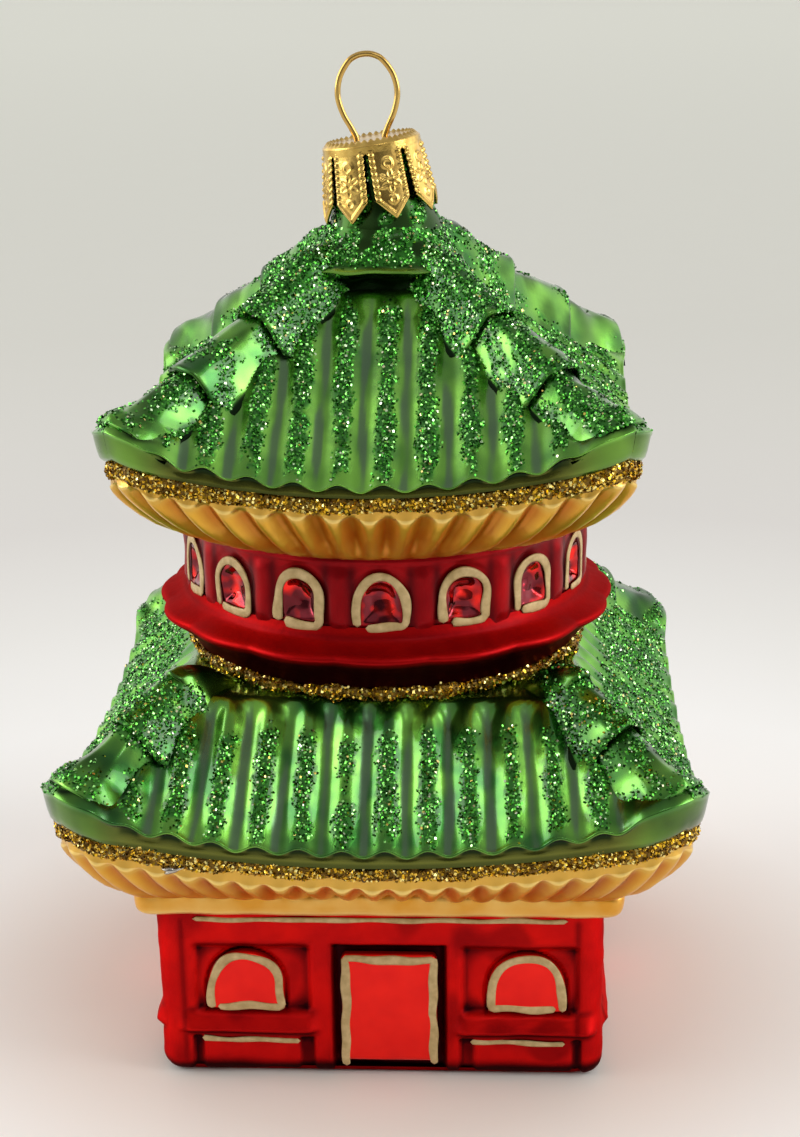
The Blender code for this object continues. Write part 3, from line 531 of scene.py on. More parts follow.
door_line = even_outline(np.array([(-5.6, 1.5), (-5.5, 16.9), (5.6, 16.8), (5.55, 1.9)]), 110, closed=False)
sill_line = np.array([(-4.1, 10.0), (-4.35, 10.1), (-4.4, 12.9)])
head_angle = np.linspace(math.pi, 0.0, 30)
head_line = np.stack([4.4 * np.cos(head_angle), 12.9 + 4.3 * np.sin(head_angle)], axis=-1)
window_line = np.concatenate([[(-4.45, 9.7)], head_line, [(4.45, 10.3), (4.1, 10.1), (-3.7, 10.05)]])
window_line = even_outline(window_line, 90, closed=False)
for quarter, side in enumerate(SIDES):
    strokes = []
    lines = [(door_line + (DOOR_MIDDLE, 0.0), 1.15, 0.05),
             (window_line + (DECOR_MIDDLE - WINDOW_MIDDLE, 0.0), 1.1, 0.05),
             (window_line * (-1.0, 1.0) + (DECOR_MIDDLE + WINDOW_MIDDLE, 0.0), 1.1, 0.05)]
    for low, high in ((-23.0, -10.3), (11.5, 23.6)):
        lines.append((even_outline(np.array([(low, 5.3), (high, 5.1)]), 40, closed=False), 0.75, 0.0))
    lines.append((even_outline(np.array([(-23.6, 22.3), (23.8, 22.5)]), 90, closed=False), 0.7, 0.05))
    for number, (line, width, out) in enumerate(lines):
        path = wall_place(line[:, 0], line[:, 1], out)
        normal = np.zeros_like(path)
        normal[:, 1] = -1.0
        bead = brush_line(path, normal, width, 0.10, 60 + 10 * quarter + number)
        strokes.append(skin(quarter_turned(bead, quarter), around=True))
    add_piece(f"{side}_painted_outlines", joined(strokes), enamel, weld=True)


# Square moulding over the walls. Pale gold lacquer, with a soft square edge that leans out over the red.

CORNICE_PALE, CORNICE_DEEP = (1.0, 0.72, 0.22), (0.76, 0.34, 0.02)
CORNICE_SECTION = np.array([(28.2, 23.2), (29.2, 23.5), (30.2, 24.0), (30.6, 24.7), (30.7, 26.2), (30.5, 26.9),
                            (29.9, 27.2), (28.0, 27.4)])


def smooth_path(knots, steps):
    """A Catmull-Rom curve through knots: each stretch is the cubic whose ends' slopes are half the step
    between the neighbouring knots."""
    ends = np.concatenate([2 * knots[:1] - knots[1:2], knots, 2 * knots[-1:] - knots[-2:-1]])
    a, b, c, d = (ends[k:len(ends) - 3 + k, None] for k in range(4))
    t = (np.arange(steps) / steps)[None, :, None]
    curve = 0.5 * (2 * b + (c - a) * t + (2 * a - 5 * b + 4 * c - d) * t ** 2 + (3 * b - a - 3 * c + d) * t ** 3)
    return np.concatenate([curve.reshape(-1, knots.shape[1]), knots[-1:]])


pale_gold, shader, wire = new_finish("pale_gold_lacquer", metallic=0.6, roughness=0.32, coat_weight=0.15,
                                     coat_roughness=0.2)
# The mark darkens the gold; where it falls below zero, along the bottom edge, it is a painted highlight.
deep = mark_wire(wire, "groove")
tone = cloudy(wire, 160.0, 3.0)
(deep + tone * 1.3 - 0.15).fade(CORNICE_PALE, CORNICE_DEEP).into(shader, "Base Color")
bumpy(wire, cloudy(wire, 500.0, 2.0), 0.00006).into(shader, "Normal")

section = smooth_path(CORNICE_SECTION, 3)
share = np.arange(480) / 480.0
rows = []
for half, z in section:
    x, y, out_x, out_y = square_ring(half, 1.7, share)
    rows.append(np.stack([x, y, np.full_like(x, z)], axis=-1))
grid = np.array(rows)
uneven = 0.14 * wobble(grid, 7.0, 70)
grid[..., 0] += uneven * out_x
grid[..., 1] += uneven * out_y
# Darker stripes round the top, and a painted highlight along the lower lip from the bell at the bottom edge.
groove = 0.5 + 0.5 * np.sin(share * 80 * math.tau) * ease(grid[..., 2], 25.6, 27.2)
add_piece("cornice_moulding", skin(grid, {"groove": groove * 0.6 - 0.7 * bell(grid[..., 2], 24.1, 0.45)}, around=True), pale_gold, ("cornice",))


# Undersides of both eaves. Blown into a pleated mould and lacquered orange gold: a plain pale rim under
# the glitter, then concave pleats with arched ends that fan in to the wall below.

class Eave:
    """Sizes of one underside: its rim, what it narrows to, and its pleats."""

    def __init__(self, name, half, corner, foot_half, foot_corner, top, edge, foot, rim_lift, pleats, depth, foot_depth):
        self.name, self.half, self.corner = name, half, corner
        self.foot_half, self.foot_corner = foot_half, foot_corner
        self.top, self.edge, self.foot = top, edge, foot
        self.rim_lift, self.pleats, self.depth, self.foot_depth = rim_lift, pleats, depth, foot_depth


LOWER_EAVE = Eave("lower", 38.85, 8.0, 31.1, 5.0, 33.5, 30.95, 26.7, 0.0030, 80, 0.85, 0.9)
UPPER_EAVE = Eave("upper", 31.45, 7.0, 26.5, 26.4, 77.1, 74.75, 69.2, 0.0045, 56, 1.35, 0.0)


def eave_grid(eave):
    """Rows of rings from the foot out to the rim. A pleat is (0.5 - 0.5 cos)^1.25 round the ring: it pushes
    the underside in and up, less towards the foot, and it lifts the edge into arches."""
    count = eave.pleats * 9
    share = np.arange(count) / count
    pleat = (0.5 - 0.5 * np.cos(share * eave.pleats * math.tau)) ** 1.25
    rows, rim, groove = [], [], []
    # Each step: share of the way in, lift of the edge, pleat depth, and rim mark, whose values over 1 paint a highlight
    # along the lip.
    steps = [(1.12, 0.3, 0.5, 0.0), (1.0, 0.0, 0.9, 0.0), (0.93, 0.0, 1.0, 0.0), (0.82, 0.0, 1.0, 0.0), (0.64, 0.0, 1.0, 0.0), (0.46, 0.0, 1.0, 0.0),
             (0.30, 0.0, 1.0, 0.0), (0.17, 0.0, 1.0, 0.0), (0.08, 0.0, 1.0, 0.0), (0.03, 0.04, 0.95, 0.4),
             (0.0, 0.12, 0.8, 1.6), (0.0, 0.22, 0.55, 1.8), (0.015, 0.4, 0.25, 1.0), (0.01, 0.8, 0.05, 1.0),
             (0.015, 1.1, 0.0, 1.0)]
    for step, up, depth, pale in steps:
        half = eave.half + (eave.foot_half - eave.half) * step
        corner = min(eave.corner + (eave.foot_corner - eave.corner) * step, half - 0.01)
        x, y, out_x, out_y = square_ring(half, corner, share)
        edge = eave.edge + (eave.top - eave.edge) * up
        z = edge + (eave.foot - edge) * min(step, 1.0) - 0.5 * math.sin(math.pi * step)
        z = z + 7.0 * max(step - 1.0, 0.0)
        z = z + eave.rim_lift * max(1 - step, 0.0) ** 2 * np.minimum(np.abs(x), np.abs(y)) ** 2
        full = ease(1.0 - step, -0.05, 0.45)
        push = eave.depth * depth * (full + (1 - full) * eave.foot_depth) * pleat
        rows.append(np.stack([x - out_x * push * 0.75, y - out_y * push * 0.75, z + push * 0.75], axis=-1))
        rim.append(np.full(count, pale))
        # The groove mark darkens the pleats' hollows with painted shade.
        groove.append(pleat * depth)
    grid = np.array(rows)
    grid[..., 2] += 0.12 * wobble(grid, 12.0, 80) * (np.array([s[0] for s in steps]) < 0.9)[:, None]
    return grid, {"rim": np.array(rim), "groove": np.array(groove)}


# The groove colour is painted shade for the pleats' hollows, and the lip colour a painted highlight on the rim's edge.
ORANGE_RIDGE, ORANGE_GROOVE_SHADE = (0.86, 0.48, 0.04), (0.55, 0.15, 0.003)
RIM_PALE, RIM_LIP_HIGHLIGHT = (0.74, 0.42, 0.06), (0.92, 0.64, 0.18)
pearl_orange, shader, wire = new_finish("pearl_orange", metallic=0.7, coat_weight=0.2, coat_roughness=0.12)
groove, rim = mark_wire(wire, "groove"), mark_wire(wire, "rim")
tone = cloudy(wire, 180.0, 3.0)
orange = (groove * 0.75 + tone * 0.7 - 0.2).fade(ORANGE_RIDGE, ORANGE_GROOVE_SHADE)
pale = (rim + 0.35 * tone - 0.2).between(0.0, 0.7).fade(orange, RIM_PALE)
rim.between(1.1, 1.7).fade(pale, RIM_LIP_HIGHLIGHT).into(shader, "Base Color")
(0.26 + 0.14 * cloudy(wire, 700.0)).into(shader, "Roughness")
bumpy(wire, cloudy(wire, 600.0, 2.0), 0.00005).into(shader, "Normal")
for eave in (LOWER_EAVE, UPPER_EAVE):
    grid, marks = eave_grid(eave)
    add_piece(f"{eave.name}_pleated_underside", skin(grid, marks, around=True), pearl_orange,
              (f"{eave.name}_soffit",))


# Gold glitter bands and the glitter ring at the drum's foot. Square metallic flakes of about 0.3 mm in clear
# glue on a bead of the same colour, laid by hand from a nozzle, so uneven in height and width. At the left
# of the front the lower band has a chip that shows the silvering.

FLAKE_SIZE = 0.31


def scatter_flakes(grid, mask, per_mm2, size, lift, lean, seed, around=False):
    """Thin square flakes on a surface. Cells of its grid are drawn at random, with a chance that grows
    with their area times the mask; each flake sits at a random place in its cell, raised by lift, tilted
    and turned at random. Gives a skin whose mark tone is one random value for each flake."""
    rng = np.random.default_rng(seed)
    if around:
        grid = np.concatenate([grid, grid[:, :1]], axis=1)
        mask = np.concatenate([mask, mask[:, :1]], axis=1)
    a, b, c, d = grid[:-1, :-1], grid[:-1, 1:], grid[1:, 1:], grid[1:, :-1]
    facing = np.cross(c - a, d - b)
    area = np.linalg.norm(facing, axis=-1)
    weight = (area / 2 * (mask[:-1, :-1] + mask[1:, 1:]) / 2).ravel()
    count = int(weight.sum() * per_mm2)
    cell = rng.choice(weight.size, count, p=weight / weight.sum())
    u, v = rng.random((2, count, 1))
    a, b, c, d = (corner.reshape(-1, 3)[cell] for corner in (a, b, c, d))
    facing = facing.reshape(-1, 3)[cell] / area.ravel()[cell][:, None]
    centre = (a * (1 - u) + b * u) * (1 - v) + (d * (1 - u) + c * u) * v
    centre = centre + facing * lift * rng.random((count, 1))
    tilt = facing + rng.normal(0.0, lean, (count, 3))
    tilt /= np.linalg.norm(tilt, axis=1, keepdims=True)
    side = np.cross(tilt, rng.normal(size=(count, 3)))
    side /= np.linalg.norm(side, axis=1, keepdims=True)
    over = np.cross(tilt, side)
    half = size / 2 * rng.uniform(0.75, 1.2, (count, 1))
    corners = np.stack([centre + half * (side * p + over * q) for p, q in ((1, 1), (-1, 1), (-1, -1), (1, -1))], axis=1)
    return corners.reshape(-1, 3), np.arange(count * 4).reshape(-1, 4), {"tone": np.repeat(rng.random(count), 4)}


def glitter_finish(name, stops, metallic, roughness):
    """Foil flakes whose colour is picked from the stops by each flake's tone."""
    made, shader, wire = new_finish(name, metallic=metallic, roughness=roughness, coat_weight=0.2, coat_roughness=0.05)
    wire.add("ShaderNodeValToRGB", {"stops": stops}, {0: mark_wire(wire, "tone")}).into(shader, "Base Color")
    return made


gold_flakes = glitter_finish("gold_flakes", ((0.0, (0.05, 0.022, 0.001)), (0.30, (0.32, 0.17, 0.006)),
                                             (0.68, (0.95, 0.56, 0.02)), (0.93, (1.0, 0.86, 0.30))), 0.95, 0.22)
gold_glue, shader, wire = new_finish("gold_glitter_glue", metallic=0.5, roughness=0.35)
cloudy(wire, 2600.0, 2.0).fade((0.04, 0.018, 0.0005), (0.36, 0.19, 0.006)).into(shader, "Base Color")
bumpy(wire, cloudy(wire, 2600.0, 2.0), 0.0003).into(shader, "Normal")

BANDS = (("lower", 38.8, 8.0, 33.0, 34.75, 0.0030, 90), ("upper", 31.4, 7.0, 76.3, 78.2, 0.0045, 92))
for name, half, corner, low, high, lift, seed in BANDS:
    share = np.arange(640) / 640.0
    rows = []
    for k in np.linspace(0.0, 1.0, 9):
        x, y, out_x, out_y = square_ring(half, corner, share)
        bulge = 0.45 * math.sin(math.pi * k)
        along = np.minimum(np.abs(x), np.abs(y))
        z = low + (high - low) * k + lift * along ** 2 + 0.9 * (k - 0.3) * ease(along, 0.4 * half, 0.9 * half)
        rows.append(np.stack([x + out_x * bulge, y + out_y * bulge, z], axis=-1))
    grid = np.array(rows)
    rough = 0.14 * wobble(grid, 1.3, seed) + 0.12 * wobble(grid, 5.0, seed + 1)
    grid += np.stack([out_x * np.ones((9, 1)), out_y * np.ones((9, 1)), np.zeros((9, 640))], axis=-1) * rough[..., None]
    grid[..., 2] += 0.2 * wobble(grid, 8.0, seed + 2)
    add_piece(f"{name}_glitter_glue", skin(grid, around=True), gold_glue, (f"{name}_glitter_band",))
    flakes = scatter_flakes(grid, np.ones(grid.shape[:2]), 17.0, FLAKE_SIZE, 0.15, 0.5, seed + 3, around=True)
    add_piece(f"{name}_band_flakes", flakes, gold_flakes)

bare_silver, shader, wire = new_finish("bare_silvering", metallic=1.0, roughness=0.25)
(cloudy(wire, 1500.0) * 2.0 - 0.5).fade((0.12, 0.11, 0.10), (0.72, 0.68, 0.60)).into(shader, "Base Color")
turn = np.arange(40) / 40.0 * math.tau
share = np.array([0.0001, 0.4, 0.75, 0.93, 1.0])[:, None]
reach = share * (1.0 + 0.2 * np.sin(3 * turn + 1.0) + 0.12 * np.sin(5 * turn))
chip = np.stack([-23.9 + 1.2 * reach * np.cos(turn), -39.4 + 0.5 * share ** 3 + 0.0 * reach,
                 34.3 + 0.5 * reach * np.sin(turn) + 0.12 * reach * np.cos(turn)], axis=-1)
add_piece("chipped_patch", skin(chip[::-1], around=True), bare_silver, weld=True)

FOOT_RADIUS, FOOT_HEIGHT = 25.3, 51.9
around_angle = np.arange(420) / 420.0 * math.tau
section_angle = np.linspace(0.0, math.tau, 13)[:-1][:, None]
ring = np.stack([np.cos(around_angle), np.sin(around_angle), np.zeros(420)], axis=-1)
swell = 1.0 + 0.35 * wobble(ring * FOOT_RADIUS, 4.0, 97) + 0.2 * wobble(ring * FOOT_RADIUS, 1.5, 98)
out = FOOT_RADIUS + 0.85 * swell * np.cos(section_angle)
z = FOOT_HEIGHT + 0.85 * swell * np.sin(section_angle) + 0.18 * wobble(ring * FOOT_RADIUS, 9.0, 99)
grid = np.stack([out * ring[:, 0], out * ring[:, 1], z], axis=-1)
closed = np.concatenate([grid, grid[:1]])
add_piece("foot_glitter_glue", skin(closed, around=True), gold_glue, ("foot_glitter_ring",), weld=True)
add_piece("foot_ring_flakes", scatter_flakes(closed, np.ones(closed.shape[:2]), 14.0, FLAKE_SIZE, 0.2, 0.6, 100, around=True),
          gold_flakes)


# Tiled roofs. Green lacquer over silvered glass, as clear as a mirror in the smooth grooves between the
# tile ribs. The eave ends in a wavy lip with a plain rim under it, and the ribs' crests carry glitter.

class TiledRoof:
    """Sizes of one roof, and the height of its tiles over plan points."""

    def __init__(self, name, half, corner, top_half, top_corner, eave, top, lift, rim_lift, pitch, drop):
        self.name, self.half, self.corner = name, half, corner
        self.top_half, self.top_corner = top_half, top_corner
        self.eave, self.top, self.lift, self.rim_lift = eave, top, lift, rim_lift
        self.pitch, self.drop = pitch, drop

    def share(self, x, y):
        """Share of the way out from the top opening to the eave, by the larger of x and y."""
        return (np.maximum(np.abs(x), np.abs(y)) - self.top_half) / (self.half - self.top_half)

    def height(self, x, y):
        """A straight slope down to the eave, plus a lift with the square of the distance from the middle of
        the side, which grows down the slope and is eased off near the diagonals; never above the top."""
        far, along = np.maximum(np.abs(x), np.abs(y)), np.minimum(np.abs(x), np.abs(y))
        share = self.share(x, y)
        ease_off = 0.4 + 0.6 * ease(far - along, 1.0, 8.0)
        lifted = self.lift * along ** 2 * np.sqrt(np.maximum(share, 0.0)) * ease_off
        return np.minimum(self.top + (self.eave - self.top) * share + lifted, self.top)

    def outline(self, along):
        """How far out the rounded outline is, at a place along the side."""
        beyond = np.clip(np.abs(along) - self.half + self.corner, 0.0, self.corner * math.sqrt(0.5))
        return self.half - self.corner + np.sqrt(self.corner ** 2 - beyond ** 2)

    def rim(self, x, y):
        """Level of the plain rim: it climbs with the square of the distance from the side's middle."""
        return self.eave + self.rim_lift * np.minimum(np.abs(x), np.abs(y)) ** 2

    def corner_share(self, along):
        """0 along most of a side and 1 round the corner, at a place along the side."""
        return ease(np.abs(along), self.half - self.corner - 4.0, self.half - self.corner + 2.5)

    def surface(self, x, y):
        """The height with each corner puffed up near its edge to 3.6 mm over the rim, and rounded off from
        there, which closes the end of the corner ridge from below."""
        far, along = np.maximum(np.abs(x), np.abs(y)), np.minimum(np.abs(x), np.abs(y))
        height = self.height(x, y)
        corner, edge = self.corner_share(along), self.outline(along) - far
        height = height + np.maximum(self.rim(x, y) + 3.6 - height, 0.0) * corner * ease(edge, 5.6, 2.3)
        return height - 1.5 * corner * np.clip(1.0 - edge / 2.8, 0.0, 1.0) ** 2

    def rib(self, along, share):
        """1 on a tile rib's crest and 0 in a groove: a cosine across the slope, fanned out a little
        towards the eave. The nearest rib is a third of a pitch off the middle."""
        return 0.5 + 0.5 * np.cos(math.tau * (along / (0.97 + 0.06 * share) / self.pitch - 1 / 3))


LOWER_ROOF = TiledRoof("lower", 39.6, 8.0, 24.6, 16.0, 37.2, 50.9, 0.0036, 0.0030, 4.95, 1.9)
UPPER_ROOF = TiledRoof("upper", 32.2, 7.0, 9.0, 4.0, 79.8, 98.4, 0.0060, 0.0045, 5.0, 1.2)
RIB_HEIGHT = 1.3
GREEN_MIRROR, GREEN_DEEP, GREEN_GLUED = (0.20, 0.50, 0.055), (0.022, 0.13, 0.016), (0.028, 0.16, 0.018)
FLAKES_PER_MM2, GREEN_FLAKE = 15.0, 0.26


# The dark tint is painted shade: black under the lip's rolled edge and dark on the rim below it.
EAVE_LIP = np.array([  # out, down, share of the ribs' waves, olive tint and dark tint of each row under the eave
    (0.16, 0.06, 1.0, 0.0, 0.0), (0.24, 0.22, 1.0, 0.0, 0.0), (0.18, 0.40, 1.0, 0.2, 0.1), (-0.05, 0.52, 1.0, 0.5, 0.6),
    (-0.35, 0.58, 0.9, 0.8, 1.0), (-0.58, 0.74, 0.75, 1.0, 1.0), (-0.60, 0.98, 0.55, 1.0, 0.95), (-0.48, 1.3, 0.25, 1.0, 0.6),
    (-0.42, 1.7, 0.0, 1.0, 0.4), (-0.40, 2.0, 0.0, 1.0, 0.8), (-0.40, 2.45, 0.0, 1.0, 0.9)])


def slope_side(roof, columns, rows, seed):
    """One side of a roof as a grid from its rim up, with its marks. Columns run straight down the slope;
    each starts on the top opening or on the diagonal and ends on the rounded outline. Below the eave the
    rows roll under a thin lip and run down the plain rim, where the waves of the ribs fade out. Round the
    corners the lip gives way to a bulge of 0.9 mm."""
    reach = roof.half - roof.corner * (1 - math.sqrt(0.5))
    along = np.linspace(-reach, reach, columns)
    outer = roof.outline(along)
    start = roof.top_half - roof.top_corner
    across = np.clip(np.abs(along) - start, 0.0, roof.top_corner * math.sqrt(0.5))
    inner = np.maximum(start + np.sqrt(roof.top_corner ** 2 - across ** 2), np.abs(along))
    share = np.linspace(0.0, 1.0, rows)[:, None]
    far = inner + (outer - inner) * share
    x = np.broadcast_to(along, far.shape)
    slope = roof.share(x, far)
    beside = ease(far - np.abs(x), 2.5, 6.0) * np.sqrt(ease(far - roof.top_half, 0.3, 2.2))
    beside = beside * (1 - roof.corner_share(along))
    crest = roof.rib(x, slope) * beside
    z = roof.surface(x, far) + RIB_HEIGHT * (1 - 0.3 * ease(outer - far, 4.0, 0.0)) * (crest - 0.6 * beside)
    points = np.stack([x, -far, z], axis=-1)
    points[..., 2] += 0.13 * wobble(points, 8.0, seed) * ease(share, 0.0, 0.1)
    corner = roof.corner_share(along)
    beyond = np.clip(np.abs(along) - roof.half + roof.corner, 0.0, None) / roof.corner
    way = np.stack([np.sign(along) * beyond, -np.sqrt(1 - beyond ** 2)], axis=-1)
    points[..., :2] += way * (0.9 * corner * ease(outer - far, 3.2, 0.0))[..., None]
    rim = roof.rim(along, outer)
    under = []
    for out, down, wave, _, _ in EAVE_LIP:
        out = out * (1 - corner) - 1.3 * corner * (down / 2.45) ** 1.5
        plan = points[-1, :, :2] + way * out[:, None]
        level = points[-1, :, 2] * wave + rim * (1 - wave) - down * roof.drop / 1.9
        under.append(np.concatenate([plan, level[:, None]], axis=1))
    # The top row is marked dark: painted shade where the roof runs in under the storey above.
    hem = points[0] * (0.8, 0.8, 1.0) + (0.0, 0.0, 0.4)
    grid = np.concatenate([hem[None], points, np.array(under)])
    end = crest[-1:] * np.ones((len(EAVE_LIP), 1))
    wavy = np.where(EAVE_LIP[:, 1:2] < 1.1, 0.6 + 0.4 * ease(end, 0.25, 0.7), 0.85)
    # Painted shade under the lip, deepest under the ribs' ends, and at the corners; the slot is a painted shadow line
    # below the tiles' noses.
    dark = EAVE_LIP[:, 4:] * wavy * (1 - 0.7 * corner) + 0.15 * corner * ease(EAVE_LIP[:, 1:2], 0.2, 0.5)
    slot = corner * bell(outer - far + 0.3 * wobble(points, 3.0, seed + 6), 1.1, 0.6)
    streak = 0.16 * wobble(points * (1.0, 0.25, 0.25), 2.2, seed + 4)
    # The groove mark is a thin painted reflection, a grey-green line along the bottom of each groove.
    groove = 0.8 * ease(roof.rib(x + 0.15, slope) + 0.6 * streak, 0.13, 0.02) * beside
    marks = {"crest": np.concatenate([crest[:1] * 0, crest, 0 * end]),
             "slope": np.concatenate([slope[:1], slope, np.full((len(EAVE_LIP), columns), 1.2)]),
             "olive": np.concatenate([crest[:1] * 0, crest * 0, EAVE_LIP[:, 3:4] * (1 - 0.75 * corner)]),
             "deep": np.concatenate([crest[:1] * 0 + 1, slot, np.clip(dark, 0.0, 1.0)]),
             "groove": np.concatenate([crest[:1] * 0, groove, 0 * end])}
    return grid[::-1], {name: value[::-1] for name, value in marks.items()}


def glued(points, crest, slope, start, seed, heavy):
    """Where a roof's glitter is, from 0 to 1: on the ribs' crests from start down to just short of the
    eave, with ragged edges, and on the heavy sides over the grooves too."""
    ragged = 0.16 * wobble(points, 1.7, seed) + 0.14 * wobble(points, 6.0, seed + 1)
    on_crest = ease(crest + ragged - 0.12 * wobble(points, 9.0, seed + 2), 0.52, 0.76)
    down = ease(slope + 0.25 * ragged, start, start + 0.08) * ease(slope + 0.3 * ragged, 0.985, 0.93)
    return np.maximum(on_crest, heavy * ease(ragged, -0.45, 0.05)) * down


green_glass, shader, wire = new_finish("green_mirror_glass", metallic=0.97, coat_roughness=0.06)
glue = mark_wire(wire, "glue")
tone = cloudy(wire, 150.0, 2.0)
# The thin mark only makes the green lighter: on the whole upper roof, and on the ledge and neck where they are not
# dark.
lacquer = (tone * 2.8 - 1.0 + mark_wire(wire, "thin")).fade(GREEN_DEEP, GREEN_MIRROR)
# The groove tint is a painted reflection; the deep mark is painted shade, near black and with less coat.
lacquer = mark_wire(wire, "groove").fade(lacquer, (0.10, 0.17, 0.10))
lacquer = mark_wire(wire, "olive").fade(lacquer, (0.24, 0.25, 0.03))
deep = mark_wire(wire, "deep")
(0.55 - 0.45 * deep).into(shader, "Coat Weight")
lacquer = deep.fade(lacquer, (0.004, 0.016, 0.003))
glue.fade(lacquer, GREEN_GLUED).into(shader, "Base Color")
(0.20 + 0.10 * cloudy(wire, 500.0) + 0.35 * glue).into(shader, "Roughness")
bumpy(wire, cloudy(wire, 220.0, 2.0) + 0.5 * glue * cloudy(wire, 3000.0, 2.0), 0.00014).into(shader, "Normal")
green_flakes = glitter_finish("green_flakes", ((0.0, (0.004, 0.045, 0.004)), (0.30, (0.03, 0.22, 0.015)),
                                               (0.70, (0.15, 0.62, 0.07)), (0.90, (0.45, 1.0, 0.30)),
                                               (0.972, (0.90, 1.0, 0.75)), (0.996, (0.9, 0.7, 0.15))), 0.97, 0.2)


def glass_skin(grid, glue, groove=0.0, olive=0.0, deep=0.0, thin=0.0, around=False):
    """A skin of green glass with all the marks that its finish reads."""
    return skin(grid, {"glue": glue, "groove": groove, "olive": olive, "deep": deep, "thin": thin}, around=around)


for roof, columns, rows, start in ((LOWER_ROOF, 255, 30, 0.24), (UPPER_ROOF, 221, 37, 0.03)):
    sides, flakes = [], []
    for quarter in range(4):
        seed = 110 + 10 * quarter + (5 if roof is UPPER_ROOF else 0)
        grid, marks = slope_side(roof, columns, rows, seed)
        mask = glued(grid, marks["crest"], marks["slope"], start, seed + 1, 0.6 if quarter % 2 else 0.0)
        grid = quarter_turned(grid, quarter)
        thin = 0.4 if roof is UPPER_ROOF else 0.0
        sides.append(glass_skin(grid, mask, marks["groove"] * (1 - mask), marks["olive"], marks["deep"], thin))
        flakes.append(scatter_flakes(grid, mask, FLAKES_PER_MM2, GREEN_FLAKE, 0.14, 0.42, seed + 3))
    add_piece(f"{roof.name}_tiled_roof", joined(sides), green_glass, (f"{roof.name}_roof",), weld=True)
    add_piece(f"{roof.name}_roof_flakes", joined(flakes), green_flakes)


# Corner ridges. Each is three cover tiles in the same green glass, one lapping the next, that swell to a
# rounded lip with an undercut below it, darkened with painted shade; most of their glitter is on the front and on the
# upper tiles.

TILES = {  # start and end along x of the diagonal, rise of the crest and width at both, and the ridge's share
    "lower": ((17.4, 25.0, -0.5, 2.9, 4.4, 6.2, 0.2), (23.2, 30.4, 2.3, 3.0, 6.6, 9.4, 0.3),
              (28.6, 36.8, 2.2, 2.3, 7.4, 10.4, 0.4)),
    "upper": ((5.6, 15.2, 5.0, 3.1, 6.2, 8.6, 0.1), (13.2, 22.6, 2.1, 2.9, 6.6, 9.4, 0.15),
              (20.8, 29.8, 2.2, 2.2, 7.0, 10.0, 0.25)),
}
TILE_GLITTER = {"lower": ((0.6, 0.9, 0.6), (0.3, 0.6, 0.35), (0.3, 0.6, 0.35), (0.15, 1.0, 0.5)),
                "upper": ((1.05, 0.72, 0.62), (0.6, 0.25, 0.2), (0.7, 0.4, 0.3), (1.2, 0.55, 0.6))}
TALLER = {("upper", "back_right"): 1.5, ("upper", "back_left"): 0.7}
HIP_NAMES = ("front_right", "back_right", "back_left", "front_left")
TILE_NOSE = np.array([(0.20, 0.02), (0.40, 0.12), (0.52, 0.32), (0.54, 0.56), (0.42, 0.80), (0.12, 0.98),
                      (-0.25, 1.08), (-0.50, 1.35), (-0.55, 2.0), (-0.55, 9.0)])


def cover_tile(roof, start, end, rise_in, rise_out, wide_in, wide_out, ridge, seed):
    """One tile over the front right diagonal, with its mark of painted shade, dark under the nose and along the
    foot. Across, its height is a round hump with steep sides and a fillet onto the roof, mixed with a ridge of
    two straight sides. Along, it widens like a horn to its nose, which bows back by the square of the place
    across; then the rows roll over the nose and back under it, in step with the root of the hump's height."""
    share = np.concatenate([np.linspace(0.0, 1.0, 20), np.ones(len(TILE_NOSE))])
    swell = ease(share, 0.55, 1.0)
    middle = start + (end - start) * share
    rise = rise_in + (rise_out - rise_in) * ease(share, 0.0, 0.8) + 0.4 * swell
    width = wide_in + (wide_out - wide_in) * share ** 1.6
    out, drop = np.concatenate([np.zeros((20, 2)), TILE_NOSE]).T[:, :, None] * (0.8 if end > roof.half - 5.0 else 1.0)
    u = 1.25 * np.sin(np.linspace(-math.pi / 2, math.pi / 2, 47))
    side = np.abs(u)
    hump = (1 - 0.2 * side ** 2) * (1 - ease(side, 0.45, 1.25)) * (1 - ridge)
    hump = hump + np.clip(1 - 0.8 * side, 0.0, 1.0) * (1 - ease(side, 0.7, 1.2)) * ridge
    bow = (1.2 if end > roof.half - 5.0 else 1.5) * u ** 2 * ease(share, 0.3, 1.0)[:, None]
    reach = middle[:, None] - bow + out * np.sqrt(hump)
    offset = u * (width / 2 / math.sqrt(2))[:, None]
    x, y = reach + offset, offset - reach
    low = roof.surface(x, y) - 0.8
    crest = (roof.height(middle, -middle) + 0.8 + rise)[:, None]
    least = 1.3 * ease(middle, roof.half - 13.0, roof.half - 4.5)[:, None] + 0.7
    z = np.maximum(low + np.maximum(crest - low, least) * hump - drop * np.sqrt(hump), low)
    grid = np.stack([x, y, z], axis=-1)
    grid = grid + 0.2 * wobble(grid, 6.0, seed)[..., None] * np.array((0.4, -0.4, 1.0))
    return grid[::-1], np.maximum(ease(drop, 0.6, 1.0) * ease(hump, 0.3, 0.6), ease(hump, 0.07, 0.02) + 0.0 * drop)[::-1]


